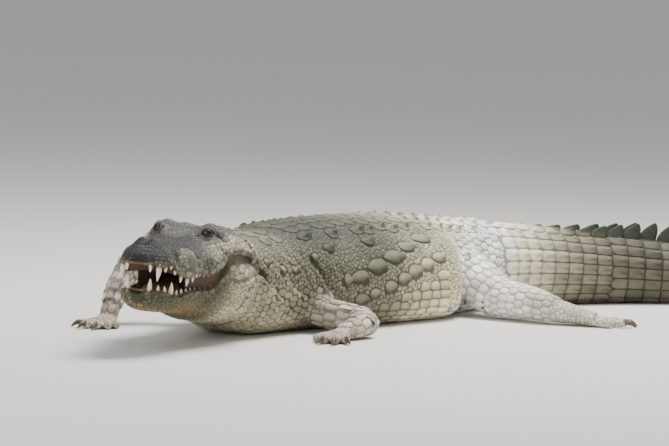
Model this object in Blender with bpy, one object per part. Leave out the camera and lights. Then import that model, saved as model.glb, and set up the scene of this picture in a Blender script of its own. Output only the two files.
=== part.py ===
"""Life-size museum model of a mugger crocodile resting on its belly, jaws a little open.

Units are metres, +Z up, and the floor is z = 0. The animal lies along a curved spine that starts
behind the skull and runs away to the right of someone who faces along +Y. Every length in the
tables below is a multiple of SKULL, the length of the head from the tip of the snout to the back
of the skull, and is measured from the start of the spine. The whole model hangs on one empty, which
brings the middle of the belly's flat to the origin.
"""

import bmesh
import bpy
import numpy as np
from mathutils import Matrix, Vector

# ---------------------------------------------------------------- driving dimensions
SKULL = 0.50  # head length in metres
BODY_LENGTH = 6.3  # back of the skull to the tip of the tail, along the spine
BELLY_PLACE = 1.6  # distance along the spine of the point of the belly that is the origin
GAP = 0.0004  # clearance between neighbouring solids, in metres
FLANK_GAP = 0.0012  # clearance of the limbs from the facets of the flank, in metres
EYE_RADIUS = 0.018  # metres
SPINE_STEPS = 3000

# ---------------------------------------------------------------- spine and body sections
# Heading of the spine, in degrees from +Y towards +X, against the distance along it.
HEADING = (
    (0.0, 22), (0.65, 28), (1.3, 36), (2.0, 42), (2.7, 48), (3.4, 66), (4.2, 84), (5.2, 88), (6.3, 70),
)  # fmt: skip
HALF_WIDTH = (
    (-0.3, 0.31), (0.0, 0.32), (0.35, 0.335), (0.65, 0.39), (1.0, 0.47), (1.5, 0.54), (2.0, 0.55),
    (2.12, 0.505), (2.24, 0.41), (2.4, 0.34), (2.7, 0.30), (3.0, 0.262), (3.5, 0.222), (4.0, 0.182),
    (4.6, 0.138), (5.3, 0.085), (5.9, 0.045), (6.3, 0.012),
)  # fmt: skip
BACK_HEIGHT = (
    (-0.3, 0.585), (0.0, 0.590), (0.35, 0.588), (0.65, 0.594), (0.8, 0.600), (1.0, 0.610), (1.3, 0.616),
    (1.7, 0.613), (2.0, 0.597), (2.4, 0.565), (2.7, 0.541), (3.0, 0.51), (3.5, 0.455), (4.0, 0.40),
    (4.6, 0.335), (5.3, 0.235), (5.9, 0.14), (6.3, 0.045),
)  # fmt: skip
WIDEST_HEIGHT = (
    (-0.3, 0.24), (0.0, 0.24), (0.65, 0.25), (1.3, 0.22), (2.2, 0.20), (2.6, 0.25), (3.0, 0.28), (4.0, 0.21),
    (5.3, 0.11), (6.3, 0.02),
)  # fmt: skip
BELLY_HEIGHT = (
    (-0.3, 0.0), (0.65, -0.015), (1.5, -0.03), (2.4, -0.03), (3.0, -0.02), (4.6, -0.015), (6.3, -0.008),
)  # fmt: skip
BACK_POWER = ((0.0, 2.2), (1.0, 2.35), (1.7, 2.35), (2.4, 2.3), (3.0, 2.2), (6.3, 2.0))
BELLY_POWER = ((0.0, 2.3), (1.0, 2.8), (2.0, 3.0), (2.7, 2.6), (3.5, 2.3), (6.3, 2.2))

# ---------------------------------------------------------------- head sections, forward from the jaw joint
JOINT_BACK = 0.03  # jaw joint behind the start of the spine
JOINT_HEIGHT = 0.38
HEAD_YAW = 20.0
HEAD_ROLL = 2.5
UPPER_PITCH = 8.0
LOWER_PITCH = 0.0
MIDDLE_PITCH = 4.0  # of the back of the head, where both jaws end in one plane
HEAD_BACK = -0.07
SNOUT_TIP = 1.06
JAW_TIP = 1.045
LIP_HALF_WIDTH = (
    (-0.07, 0.30), (0.0, 0.325), (0.12, 0.335), (0.25, 0.315), (0.38, 0.275), (0.50, 0.24), (0.62, 0.222),
    (0.74, 0.218), (0.82, 0.19), (0.88, 0.162), (0.94, 0.154), (1.0, 0.132), (1.04, 0.094), (1.06, 0.055),
)  # fmt: skip
LIP_HEIGHT = (
    (-0.07, 0.035), (0.0, 0.045), (0.12, 0.07), (0.2, 0.092), (0.31, 0.095), (0.38, 0.058), (0.44, 0.016),
    (0.5, -0.012), (0.6, -0.026), (0.67, -0.02), (0.74, -0.042), (0.8, -0.06), (0.86, -0.038),
    (0.905, 0.0), (0.95, -0.002), (1.0, -0.024), (1.04, -0.015), (1.06, 0.0),
)  # fmt: skip
ROOF_HEIGHT = (
    (-0.07, 0.216), (0.0, 0.240), (0.12, 0.260), (0.25, 0.258), (0.38, 0.230), (0.50, 0.185), (0.62, 0.155),
    (0.74, 0.142), (0.82, 0.130), (0.88, 0.122), (0.94, 0.120), (1.0, 0.102), (1.04, 0.068), (1.06, 0.042),
)  # fmt: skip
ROOF_POWER = ((-0.07, 2.2), (0.12, 2.4), (0.38, 2.6), (0.62, 2.5), (0.84, 2.35), (0.94, 2.05), (1.06, 2.0))
JAW_HALF_WIDTH = (
    (-0.07, 0.295), (0.0, 0.32), (0.12, 0.325), (0.25, 0.30), (0.38, 0.257), (0.50, 0.222), (0.62, 0.20),
    (0.74, 0.188), (0.82, 0.175), (0.88, 0.160), (0.94, 0.142), (1.0, 0.108), (1.03, 0.075), (1.045, 0.045),
)  # fmt: skip
JAW_RIM = (
    (-0.07, 0.012), (0.0, 0.032), (0.12, 0.066), (0.2, 0.094), (0.3, 0.102), (0.36, 0.056), (0.42, 0.004),
    (0.5, -0.03), (0.62, -0.026), (0.74, -0.03), (0.82, -0.043), (0.88, -0.036), (0.94, -0.018),
    (1.0, -0.008), (1.045, 0.0),
)  # fmt: skip
JAW_BOTTOM = (
    (-0.07, -0.265), (0.06, -0.273), (0.25, -0.255), (0.38, -0.225), (0.50, -0.195), (0.62, -0.175),
    (0.80, -0.155), (0.92, -0.14), (1.0, -0.118), (1.03, -0.095), (1.045, -0.06),
)  # fmt: skip
# Bumps on the roof of the skull: forward, half of the space between the pair, radius along, radius
# across, height. They are the brow over each eye, the corner of the skull table, the jaw muscle, the
# ridge before the eye, the swollen cheek of the snout and the rim of each nostril.
ROOF_BUMPS = (
    (0.395, 0.142, 0.100, 0.070, 0.060),
    (0.13, 0.110, 0.090, 0.045, 0.020),
    (0.14, 0.285, 0.110, 0.060, 0.018),
    (0.55, 0.075, 0.070, 0.030, 0.018),
    (0.70, 0.130, 0.090, 0.060, 0.014),
    (0.955, 0.040, 0.035, 0.040, 0.036),
)
ROOF_HOLLOWS = (
    (0.37, 0.0, 0.10, 0.055, -0.022),
    (0.86, 0.07, 0.05, 0.06, -0.014),
    (1.0, 0.0, 0.03, 0.03, -0.010),
)
EYE_PLACE = (0.445, 0.145, 0.208)  # centre of the left eye in the head's own frame
TOOTH_LENGTH = (
    (0.0, 0.018), (0.3, 0.024), (0.44, 0.04), (0.54, 0.052), (0.6, 0.034), (0.68, 0.022), (0.76, 0.026),
    (0.83, 0.034), (0.893, 0.068), (0.95, 0.044), (1.0, 0.038),
)  # fmt: skip
LOWER_TOOTH_LENGTH = (
    (0.0, 0.018), (0.5, 0.026), (0.64, 0.032), (0.705, 0.074), (0.77, 0.034), (0.88, 0.03), (0.94, 0.062),
    (1.0, 0.072),
)  # fmt: skip
TONGUE = (0.18, 0.78)  # back and front end, forward of the jaw joint
UPPER_TEETH = 14  # on each side
LOWER_TEETH = 12
UPPER_TOOTH_ROW = (0.42, SNOUT_TIP - 0.004, 0.016)  # from and to, forward of the joint; inset from the lip
LOWER_TOOTH_ROW = (0.44, JAW_TIP - 0.011, 0.028)
TOOTH_LEAN = 0.16  # outward for each length of tooth
TOOTH_GIRTH = (0.006, 0.16)  # radius of the root: constant, and share of the length
PALATE_ARCH = 0.022
FLOOR_SAG = 0.028

# ---------------------------------------------------------------- limbs: joints in SKULL, in world axes
ARM_LEFT = {
    "upper_arm": ((0.58, 0.55, 0.150), (0.75, 0.46, 0.110), (0.935, 0.34, 0.085)),
    "forearm": ((0.935, 0.34, 0.085), (0.89, 0.22, 0.074), (0.80, 0.10, 0.048)),
    "hand": ((0.81, 0.12, 0.043), (0.74, 0.00, 0.032)),
}
ARM_RIGHT = {
    "upper_arm": ((0.16, 0.80, 0.42), (-0.16, 0.80, 0.41), (-0.46, 0.73, 0.34)),
    "forearm": ((-0.46, 0.73, 0.33), (-0.53, 0.67, 0.20), (-0.57, 0.58, 0.060)),
    "hand": ((-0.57, 0.60, 0.050), (-0.60, 0.46, 0.034)),
}
LEG_LEFT = {
    "thigh": ((1.31, 1.91, 0.30), (1.53, 1.75, 0.24), (1.72, 1.54, 0.13)),
    "shank": ((1.72, 1.54, 0.125), (1.90, 1.40, 0.115), (2.06, 1.28, 0.09)),
    "foot": ((2.04, 1.295, 0.088), (2.30, 1.237, 0.046)),
}
LEG_RIGHT = {
    "thigh": ((1.36, 2.10, 0.34), (1.14, 2.24, 0.30), (0.91, 2.36, 0.20)),
    "shank": ((0.90, 2.36, 0.19), (1.00, 2.46, 0.13), (1.13, 2.58, 0.07)),
    "foot": ((1.14, 2.575, 0.058), (0.985, 2.605, 0.038)),
}
# Half width across and half height of each length of a limb, at its two ends and its middle.
GIRTH = {
    "upper_arm": ((0.098, 0.100), (0.092, 0.092), (0.082, 0.082)),
    "forearm": ((0.084, 0.082), (0.077, 0.070), (0.055, 0.048)),
    "hand": ((0.060, 0.042), (0.085, 0.034)),
    "thigh": ((0.20, 0.195), (0.17, 0.168), (0.134, 0.128)),
    "shank": ((0.130, 0.124), (0.120, 0.108), (0.092, 0.084)),
    "foot": ((0.092, 0.084), (0.108, 0.042)),
}
# Digits: angle from the foot's own direction (degrees, towards the inner side), length, has a claw.
FINGERS = ((48, 0.13, True), (24, 0.165, True), (2, 0.17, True), (-20, 0.15, False), (-44, 0.12, False))
TOES = ((24, 0.21, True), (9, 0.28, True), (-6, 0.29, True), (-22, 0.24, False))
DIGIT_RADIUS = 0.031
CLAW_LENGTH = 0.075
CLAW_ARCH = 0.003  # rise of the claw's middle
CLAW_TIP_HEIGHT = 0.006
CLAW_GIRTH = ((0.016, 0.015), (0.012, 0.011), (0.0035, 0.0035))
WEB_THICKNESS = 0.016
TANGENT_STEP = 0.01  # half the stretch over which a limb's direction is read
LIMB_SIDES = 10
DIGIT_SIDES = 6

# ---------------------------------------------------------------- tail crests
DOUBLE_CREST = (2.75, 3.93)  # two rows of upright scutes between these distances
SINGLE_CREST = (3.93, 6.15)
DOUBLE_COUNT = 10
SINGLE_COUNT = 19
CREST_HEIGHT = (
    (2.7, 0.015), (3.0, 0.022), (3.35, 0.036), (3.6, 0.058), (3.8, 0.082), (4.0, 0.104), (4.6, 0.122),
    (5.2, 0.125), (5.8, 0.09), (6.2, 0.045),
)  # fmt: skip
CREST_SPREAD = ((2.7, 0.13), (3.3, 0.115), (3.7, 0.060), (3.93, 0.022))


# ---------------------------------------------------------------- small numerical tools
def smooth(x, table):
    """Value at x of a smooth curve through the (place, value) pairs, with no overshoot."""
    places, values = (np.array(column, float) for column in zip(*table))
    x = np.asarray(x, float)
    step = np.diff(places)
    rise = np.diff(values) / step
    slope = np.zeros_like(places)
    product = rise[:-1] * rise[1:]
    slope[1:-1] = np.where(product > 0, 2 * product / (rise[:-1] + rise[1:] + 1e-12), 0.0)
    slope[0], slope[-1] = rise[0], rise[-1]
    i = np.clip(np.searchsorted(places, x, side="right") - 1, 0, len(places) - 2)
    t = np.clip((x - places[i]) / step[i], 0, 1)
    start = (2 * t**3 - 3 * t**2 + 1) * values[i] + (t**3 - 2 * t**2 + t) * step[i] * slope[i]
    end = (3 * t**2 - 2 * t**3) * values[i + 1] + (t**3 - t**2) * step[i] * slope[i + 1]
    return start + end


def signed_power(value, power):
    """Odd power of a value, which keeps its sign."""
    return np.sign(value) * np.abs(value) ** power


def spine(s):
    """World X and Y of the spine and its heading, at a distance s behind the skull."""
    fine = np.linspace(-0.5, BODY_LENGTH, SPINE_STEPS)
    heading = np.radians(smooth(fine, HEADING))
    step = fine[1] - fine[0]
    x = np.concatenate([[0], np.cumsum(np.sin(heading[1:]) * step)])
    y = np.concatenate([[0], np.cumsum(np.cos(heading[1:]) * step)])
    x -= np.interp(0, fine, x)
    y -= np.interp(0, fine, y)
    return SKULL * np.interp(s, fine, x), SKULL * np.interp(s, fine, y), np.interp(s, fine, heading)


def body_point(s, around, grow=0.0):
    """Point of the neck, trunk or tail: around is 0 on the back and rises towards the left flank."""
    s, around = np.broadcast_arrays(np.asarray(s, float), np.asarray(around, float))
    x, y, heading = spine(s)
    half = SKULL * smooth(s, HALF_WIDTH) + grow
    top = SKULL * smooth(s, BACK_HEIGHT) + grow
    middle = SKULL * smooth(s, WIDEST_HEIGHT)
    bottom = SKULL * smooth(s, BELLY_HEIGHT) - grow
    up = np.cos(around)
    power = 2 / np.where(up >= 0, smooth(s, BACK_POWER), smooth(s, BELLY_POWER))
    side = half * signed_power(np.sin(around), power)
    height = np.abs(up) ** power
    z = np.where(up >= 0, middle + (top - middle) * height, middle - (middle - bottom) * height)
    z = np.maximum(z, -grow)
    return np.stack([x + np.cos(heading) * side, y - np.sin(heading) * side, z], -1)


def head_to_world(local, pitch):
    """World place of a point of the head's own frame, in SKULL: forward, left, up."""
    local = np.asarray(local, float)
    opening = smooth(local[..., 0], ((HEAD_BACK, 0.0), (0.15, 1.0)))
    tilt = np.radians(MIDDLE_PITCH + (pitch - MIDDLE_PITCH) * opening)
    roll, yaw = np.radians(HEAD_ROLL), np.radians(HEAD_YAW)
    local = local * SKULL
    forward = local[..., 0] * np.cos(tilt) - local[..., 2] * np.sin(tilt)
    rise = local[..., 0] * np.sin(tilt) + local[..., 2] * np.cos(tilt)
    left = local[..., 1] * np.cos(roll) + rise * np.sin(roll)
    up = rise * np.cos(roll) - local[..., 1] * np.sin(roll)
    ahead = forward - JOINT_BACK * SKULL
    x = -np.sin(yaw) * ahead + np.cos(yaw) * left
    y = -np.cos(yaw) * ahead - np.sin(yaw) * left
    return np.stack([x, y, JOINT_HEIGHT * SKULL + up], -1)


def roof_relief(forward, side):
    """Height that the bumps and hollows add to the roof of the head."""
    relief = np.zeros(np.broadcast(forward, side).shape)
    for along, apart, radius_along, radius_across, height in ROOF_BUMPS + ROOF_HOLLOWS:
        spread = ((forward - along) / radius_along) ** 2 + ((np.abs(side) - apart) / radius_across) ** 2
        relief = relief + height * np.exp(-spread)
    return relief


# ---------------------------------------------------------------- mesh tools
def material(name, colour, roughness):
    """Principled material of a part."""
    made = bpy.data.materials.new(name)
    made.use_nodes = True
    shader = made.node_tree.nodes["Principled BSDF"]
    shader.inputs["Base Color"].default_value = (*colour, 1.0)
    shader.inputs["Roughness"].default_value = roughness
    shader.inputs["Metallic"].default_value = 0.0
    return made


def add_object(name, mesh, collection, finish=None):
    """Object of a mesh, in a collection, with its material."""
    made = bpy.data.objects.new(name, mesh)
    collection.objects.link(made)
    if finish is not None:
        mesh.materials.append(finish)
        mesh.shade_smooth()
        mesh.set_sharp_from_angle(angle=np.radians(40))
    return made


def closed_mesh(name, work):
    """Mesh of a closed bmesh, with every face turned outwards; the bmesh is freed."""
    bmesh.ops.recalc_face_normals(work, faces=work.faces[:])
    if work.calc_volume(signed=True) < 0:
        bmesh.ops.reverse_faces(work, faces=work.faces[:])
    mesh = bpy.data.meshes.new(name)
    work.to_mesh(mesh)
    work.free()
    return mesh


def loft_mesh(name, rings):
    """Closed mesh through rings of equal count, with a fan over the centre of each end ring."""
    rings = np.asarray(rings, float)
    count, size = rings.shape[:2]
    ends = np.stack([rings[0].mean(0), rings[-1].mean(0)])
    points = np.concatenate([rings.reshape(-1, 3), ends])
    index = np.arange(count * size).reshape(count, size)
    after = np.roll(index, -1, axis=1)
    walls = np.stack([index[:-1], after[:-1], after[1:], index[1:]], -1).reshape(-1, 4).tolist()
    first, last = count * size, count * size + 1
    front = [[first, b, a] for a, b in zip(index[0].tolist(), after[0].tolist())]
    rear = [[last, a, b] for a, b in zip(index[-1].tolist(), after[-1].tolist())]
    work = bmesh.new()
    corners = [work.verts.new(point) for point in points]
    for face in walls + front + rear:
        work.faces.new([corners[i] for i in face])
    return closed_mesh(name, work)


def cone_mesh(name, base, tip, radius, sides=6):
    """Closed cone from a base centre to its tip, both in world metres."""
    base, tip = Vector(base), Vector(tip)
    axis = tip - base
    turn = Vector((0, 0, 1)).rotation_difference(axis).to_matrix().to_4x4()
    place = Matrix.Translation(base + axis / 2) @ turn
    work = bmesh.new()
    bmesh.ops.create_cone(
        work, cap_ends=True, segments=sides, radius1=radius, radius2=0.0, depth=axis.length, matrix=place
    )
    mesh = bpy.data.meshes.new(name)
    work.to_mesh(mesh)
    work.free()
    return mesh


def merge_meshes(name, meshes):
    """One mesh that holds several closed ones."""
    work = bmesh.new()
    for mesh in meshes:
        work.from_mesh(mesh)
    made = bpy.data.meshes.new(name)
    work.to_mesh(made)
    work.free()
    return made


class Workshop:
    """Keeps the collections of the model and adds Boolean modifiers between its objects."""

    def __init__(self):
        self.parts = bpy.data.collections.new("mugger_crocodile")
        self.cutters = bpy.data.collections.new("cutters")
        bpy.context.scene.collection.children.link(self.parts)
        bpy.context.scene.collection.children.link(self.cutters)
        belly_x, belly_y, _ = spine(BELLY_PLACE)
        self.base = bpy.data.objects.new("base", None)
        self.base.location = (-belly_x, -belly_y, 0.0)
        self.parts.objects.link(self.base)

    def part(self, name, mesh, finish):
        """Named part of the model."""
        made = add_object(name, mesh, self.parts, finish)
        made.parent = self.base
        return made

    def tool(self, name, mesh):
        """Cutter or piece to be joined, which is not itself a part."""
        made = add_object("tool_" + name, mesh, self.cutters)
        made.parent = self.base
        made.hide_render = True
        made.display_type = "WIRE"
        return made

    def combine(self, target, tool, operation):
        """Boolean modifier of a target with a tool."""
        change = target.modifiers.new(operation.lower(), "BOOLEAN")
        change.operation = operation
        change.solver = "EXACT"
        change.object = tool


# ---------------------------------------------------------------- neck, trunk and tail
# Start and end along the spine, number of sections and points in each section.
BODY_LENGTHS = {
    "trunk": (0.65, 2.70, 12, 26),
    "tail_base": (2.70, 3.60, 6, 18),
    "tail_middle": (3.60, 4.80, 7, 14),
    "tail_end": (4.80, 6.30, 8, 10),
}


def body_loft(name, start, end, rings, sides, grow=0.0):
    """Length of the body between two distances along the spine."""
    s = np.linspace(start, end, rings)[:, None]
    around = np.linspace(0, 2 * np.pi, sides, endpoint=False)[None]
    return loft_mesh(name, body_point(s, around, grow))


def neck_mesh(end, grow=0.0):
    """Neck, from the back of the head to the body's section at its end."""
    around = np.linspace(0, 2 * np.pi, 26, endpoint=False)
    front = head_outline(HEAD_BACK - GAP / SKULL, around)
    places = np.linspace(0.10, end, 7)
    blend = smooth(places, ((0.10, 0.35), (0.40, 1.0), (end, 1.0)))[:, None, None]
    behind = body_point(places[:, None], around[None], grow)
    carried = front[None] + (behind.mean(1) - front.mean(0))[:, None]
    carried[..., 2] = np.maximum(front[None, :, 2], 0.0)
    rings = (1 - blend) * carried + blend * behind
    return loft_mesh("neck", np.concatenate([front[None], rings]))


def crest_mesh(name, start, end):
    """Upright scutes of the tail's crest between two distances, each a leaning fin."""
    rows = []
    crests = ((*DOUBLE_CREST, DOUBLE_COUNT, True), (*SINGLE_CREST, SINGLE_COUNT, False))
    for first, last, count, double in crests:
        pitch = (last - first) / count
        for number in range(count):
            middle = first + (number + 0.5) * pitch
            if start + 0.5 * pitch < middle < end - 0.5 * pitch:
                rows += crest_row(middle, pitch, double)
    return merge_meshes(name, rows)


def crest_row(middle, pitch, double):
    """The two scutes of a double row, or the one of a single row."""
    spread = float(smooth(middle, CREST_SPREAD)) if double else 0.0
    height = SKULL * float(smooth(middle, CREST_HEIGHT))
    sides = (-1, 1) if double else (0,)
    return [crest_scute(middle, pitch, spread * side, height) for side in sides]


def crest_scute(middle, pitch, side, height):
    """One fin: a thin wedge that rises to the rear, with its foot sunk in the tail."""
    half = SKULL * smooth(middle, HALF_WIDTH)
    around = np.arcsin(np.clip(side * SKULL / half, -0.9, 0.9))
    front = body_point(middle - 0.44 * pitch, around)
    back = body_point(middle + 0.44 * pitch, around)
    along = back - front
    across = np.array([along[1], -along[0], 0.0])
    across = across / np.linalg.norm(across)
    up = np.array([0.0, 0.0, 1.0])
    thick = 0.20 * pitch * SKULL
    rings = []
    for level, shrink, lean in ((-0.25, 1.0, 0.0), (0.60, 0.66, 0.20), (1.0, 0.18, 0.42)):
        centre = (front + back) / 2 + up * height * level + along * lean * 0.5
        ring = [
            centre - along * 0.5 * shrink,
            centre + across * thick * shrink,
            centre + along * 0.5 * shrink,
            centre - across * thick * shrink,
        ]
        rings.append(ring)
    return loft_mesh("scute", np.array(rings))


def build_body(shop):
    """Neck, trunk and three lengths of tail, each crest joined to its length."""
    hide = material("hide_flank", (0.36, 0.33, 0.26), 0.62)
    tail_hide = material("hide_tail", (0.30, 0.28, 0.22), 0.62)
    slit = GAP / SKULL
    shop.part("neck", neck_mesh(BODY_LENGTHS["trunk"][0] - slit), hide)
    for name, (start, end, rings, sides) in BODY_LENGTHS.items():
        finish = hide if name == "trunk" else tail_hide
        length = shop.part(name, body_loft(name, start, end - slit, rings, sides), finish)
        if name != "trunk":
            shop.combine(length, shop.tool(name + "_crest", crest_mesh(name + "_crest", start, end)), "UNION")


def flank_cutters(shop):
    """Neck, trunk and tail base a little larger, which leave the limbs' roots clear of their facets."""
    overlap = 4 * GAP / SKULL
    cutters = [shop.tool("neck_flank", neck_mesh(BODY_LENGTHS["trunk"][0] + overlap, FLANK_GAP))]
    for name in ("trunk", "tail_base"):
        start, end, rings, sides = BODY_LENGTHS[name]
        larger = body_loft(name, start - overlap, end + overlap, rings, sides, FLANK_GAP)
        cutters.append(shop.tool(name + "_flank", larger))
    return cutters


# ---------------------------------------------------------------- head
def upper_ring(forward, count, grow=0.0):
    """Closed section of the upper head: the roof from lip to lip, then the palate."""
    half = smooth(forward, LIP_HALF_WIDTH) + grow
    lip = smooth(forward, LIP_HEIGHT) - grow
    roof = smooth(forward, ROOF_HEIGHT) + grow
    power = 2 / smooth(forward, ROOF_POWER)
    around = np.linspace(-np.pi / 2, np.pi / 2, count)
    side = half * signed_power(np.sin(around), power)
    up = lip + (roof - lip) * np.abs(np.cos(around)) ** power
    up = up + roof_relief(forward, side) * np.cos(around) ** 0.5
    across = np.linspace(0.80, -0.80, 5) * half
    arch = lip + PALATE_ARCH * np.cos(across / half * np.pi / 2)
    ring_side = np.concatenate([side, across])
    ring_up = np.concatenate([up, arch])
    return np.stack([np.full_like(ring_side, forward), ring_side, ring_up], -1)


def lower_ring(forward, count, grow=0.0):
    """Closed section of the lower jaw: the outside from rim to rim, then the floor of the mouth."""
    half = smooth(forward, JAW_HALF_WIDTH) + grow
    rim = smooth(forward, JAW_RIM) + grow
    bottom = smooth(forward, JAW_BOTTOM) - grow
    around = np.linspace(-np.pi / 2, np.pi / 2, count)
    side = half * signed_power(np.sin(around), 2 / 2.5)
    down = rim - (rim - bottom) * np.abs(np.cos(around)) ** (2 / 2.5)
    across = np.linspace(0.80, -0.80, 5) * half
    floor = rim - FLOOR_SAG * np.cos(across / half * np.pi / 2)
    ring_side = np.concatenate([side, across])
    ring_up = np.concatenate([down, floor])
    return np.stack([np.full_like(ring_side, forward), ring_side, ring_up], -1)


def head_outline(forward, around):
    """Outline of the back of the closed head, in world metres, for the front of the neck."""
    half, middle = smooth(forward, LIP_HALF_WIDTH), smooth(forward, LIP_HEIGHT)
    up = np.cos(around)
    power = 2 / np.where(up >= 0, 2.2, 2.5)
    reach = np.where(up >= 0, smooth(forward, ROOF_HEIGHT) - middle, middle - smooth(forward, JAW_BOTTOM))
    side = half * signed_power(np.sin(around), power)
    local = np.stack([np.full_like(side, forward), side, middle + reach * signed_power(up, power)], -1)
    return head_to_world(local, MIDDLE_PITCH)


def head_stations(tip, grow):
    """Distances forward of the sections of a jaw, closer together towards its tip."""
    return np.concatenate([np.linspace(HEAD_BACK - grow, 0.86, 13), np.linspace(0.92, tip + grow, 4)])


def upper_mesh(grow=0.0):
    """Skull and snout."""
    rings = [head_to_world(upper_ring(x, 15, grow), UPPER_PITCH) for x in head_stations(SNOUT_TIP, grow)]
    rings = np.array(rings)
    rings[..., 2] = np.maximum(rings[..., 2], 0.0)
    return loft_mesh("head_upper", rings)


def lower_mesh(grow=0.0):
    """Lower jaw with its throat."""
    rings = [head_to_world(lower_ring(x, 13, grow), LOWER_PITCH) for x in head_stations(JAW_TIP, grow)]
    rings = np.array(rings)
    rings[..., 2] = np.maximum(rings[..., 2], 0.0)
    return loft_mesh("jaw_lower", rings)


def rim_path(width_table, height_table, row, count):
    """Places of the tooth sockets, from the rear to the midline, evenly along the rim of a jaw."""
    start, tip, inset = row
    x = np.linspace(start, tip, 600)
    half = smooth(x, width_table) - inset
    length = np.concatenate([[0], np.cumsum(np.hypot(np.diff(x), np.diff(half)))])
    share = (np.arange(count) + 0.5) / count
    place = np.interp(share * length[-1], length, x)
    side = np.interp(share * length[-1], length, half)
    outward = np.stack([np.gradient(-half, length), np.gradient(x, length)], -1)
    lean = np.stack([np.interp(share * length[-1], length, outward[:, k]) for k in (0, 1)], -1)
    return share, np.stack([place, side, smooth(place, height_table)], -1), lean


def teeth_mesh(name, sockets, lengths, pitch, direction):
    """Both sides' teeth of a jaw: cones that point up or down and a little outward."""
    share, places, lean = sockets
    cones = []
    for mirror in (1, -1):
        for amount, place, out in zip(share, places, lean):
            length = float(smooth(amount, lengths))
            middle = place * (1, mirror, 1)
            root = middle - np.array([0, 0, direction * 0.02])
            tip = middle + np.array([out[0] * TOOTH_LEAN, out[1] * TOOTH_LEAN * mirror, direction]) * length
            base, point = head_to_world(root, pitch), head_to_world(tip, pitch)
            radius = SKULL * (TOOTH_GIRTH[0] + TOOTH_GIRTH[1] * length)
            cones.append(cone_mesh(name, base, point, radius, 4))
    return merge_meshes(name, cones)


def ball_mesh(name, centre, radius, segments):
    """Sphere round a world point."""
    work = bmesh.new()
    place = Matrix.Translation(Vector(centre))
    bands = segments // 2 + 1
    bmesh.ops.create_uvsphere(work, u_segments=segments, v_segments=bands, radius=radius, matrix=place)
    mesh = bpy.data.meshes.new(name)
    work.to_mesh(mesh)
    work.free()
    return mesh


def tongue_mesh():
    """Low pad on the floor of the mouth, before it is cut to that floor."""
    rings = []
    for forward in np.linspace(*TONGUE, 6):
        share = (forward - TONGUE[0]) / (TONGUE[1] - TONGUE[0])
        half = 0.55 * smooth(forward, JAW_HALF_WIDTH) * np.sin(np.pi * (0.15 + 0.72 * share)) ** 0.4
        middle = smooth(forward, JAW_RIM) - 0.008
        around = np.linspace(0, 2 * np.pi, 8, endpoint=False)
        ring = np.stack([np.full(8, forward), half * np.sin(around), middle + 0.030 * np.cos(around)], -1)
        rings.append(head_to_world(ring, LOWER_PITCH))
    return loft_mesh("tongue", np.array(rings))


def build_head(shop):
    """Upper head and lower jaw with their teeth, the tongue and the eyes."""
    horn = material("hide_head", (0.24, 0.24, 0.20), 0.55)
    pale = material("hide_jaw", (0.42, 0.40, 0.27), 0.55)
    upper = shop.part("head_upper", upper_mesh(), horn)
    sockets = rim_path(LIP_HALF_WIDTH, LIP_HEIGHT, UPPER_TOOTH_ROW, UPPER_TEETH)
    teeth = teeth_mesh("teeth", sockets, TOOTH_LENGTH, UPPER_PITCH, -1)
    shop.combine(upper, shop.tool("upper_teeth", teeth), "UNION")
    lower = shop.part("jaw_lower", lower_mesh(), pale)
    sockets = rim_path(JAW_HALF_WIDTH, JAW_RIM, LOWER_TOOTH_ROW, LOWER_TEETH)
    teeth = teeth_mesh("teeth", sockets, LOWER_TOOTH_LENGTH, LOWER_PITCH, 1)
    shop.combine(lower, shop.tool("lower_teeth", teeth), "UNION")
    tongue = shop.part("tongue", tongue_mesh(), material("tongue", (0.45, 0.30, 0.22), 0.45))
    shop.combine(tongue, shop.tool("mouth_floor", lower_mesh(GAP / SKULL)), "DIFFERENCE")
    eye_finish = material("eye", (0.10, 0.08, 0.04), 0.10)
    for name, mirror in (("eye_left", 1), ("eye_right", -1)):
        centre = head_to_world(np.array(EYE_PLACE) * (1, mirror, 1), UPPER_PITCH)
        shop.part(name, ball_mesh(name, centre, EYE_RADIUS, 10), eye_finish)
        socket = shop.tool(name + "_socket", ball_mesh("socket", centre, EYE_RADIUS + GAP, 10))
        shop.combine(upper, socket, "DIFFERENCE")


# ---------------------------------------------------------------- limbs
def tube_rings(path, girths, sides, stations, grow=0.0, rounding=0.35):
    """Oval sections along a bent path of joints in SKULL, rounded off at both ends."""
    path = np.array(path, float)
    length = np.concatenate([[0], np.cumsum(np.linalg.norm(np.diff(path, axis=0), axis=1))])
    total = length[-1]
    knots = tuple(length)
    half_across = tuple(zip(knots, (pair[0] for pair in girths)))
    half_high = tuple(zip(knots, (pair[1] for pair in girths)))
    cap = rounding * girths[-1][0] + grow / SKULL
    cap_start = rounding * girths[0][0] + grow / SKULL
    t = np.concatenate([[-cap_start], np.linspace(0, total, stations), [total + cap]])
    shrink = np.concatenate([[0.6], np.ones(stations), [0.6]])
    inner = np.clip(t, 0, total)
    routes = [tuple(zip(knots, path[:, axis])) for axis in range(3)]
    near, far = np.clip(inner - TANGENT_STEP, 0, total), np.clip(inner + TANGENT_STEP, 0, total)
    centre = np.stack([smooth(inner, route) for route in routes], -1)
    forward = np.stack([smooth(far, route) - smooth(near, route) for route in routes], -1)
    forward /= np.linalg.norm(forward, axis=1, keepdims=True)
    centre = centre + forward * (t - inner)[:, None]
    across = np.cross(forward, (0.0, 0.0, 1.0))
    across /= np.linalg.norm(across, axis=1, keepdims=True)
    up = np.cross(across, forward)
    around = np.linspace(0, 2 * np.pi, sides, endpoint=False)
    wide = (smooth(inner, half_across) * shrink + grow / SKULL)[:, None, None]
    high = (smooth(inner, half_high) * shrink + grow / SKULL)[:, None, None]
    sideways = across[:, None] * np.sin(around)[None, :, None] * wide
    upwards = up[:, None] * np.cos(around)[None, :, None] * high
    return SKULL * (centre[:, None] + sideways + upwards)


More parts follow.
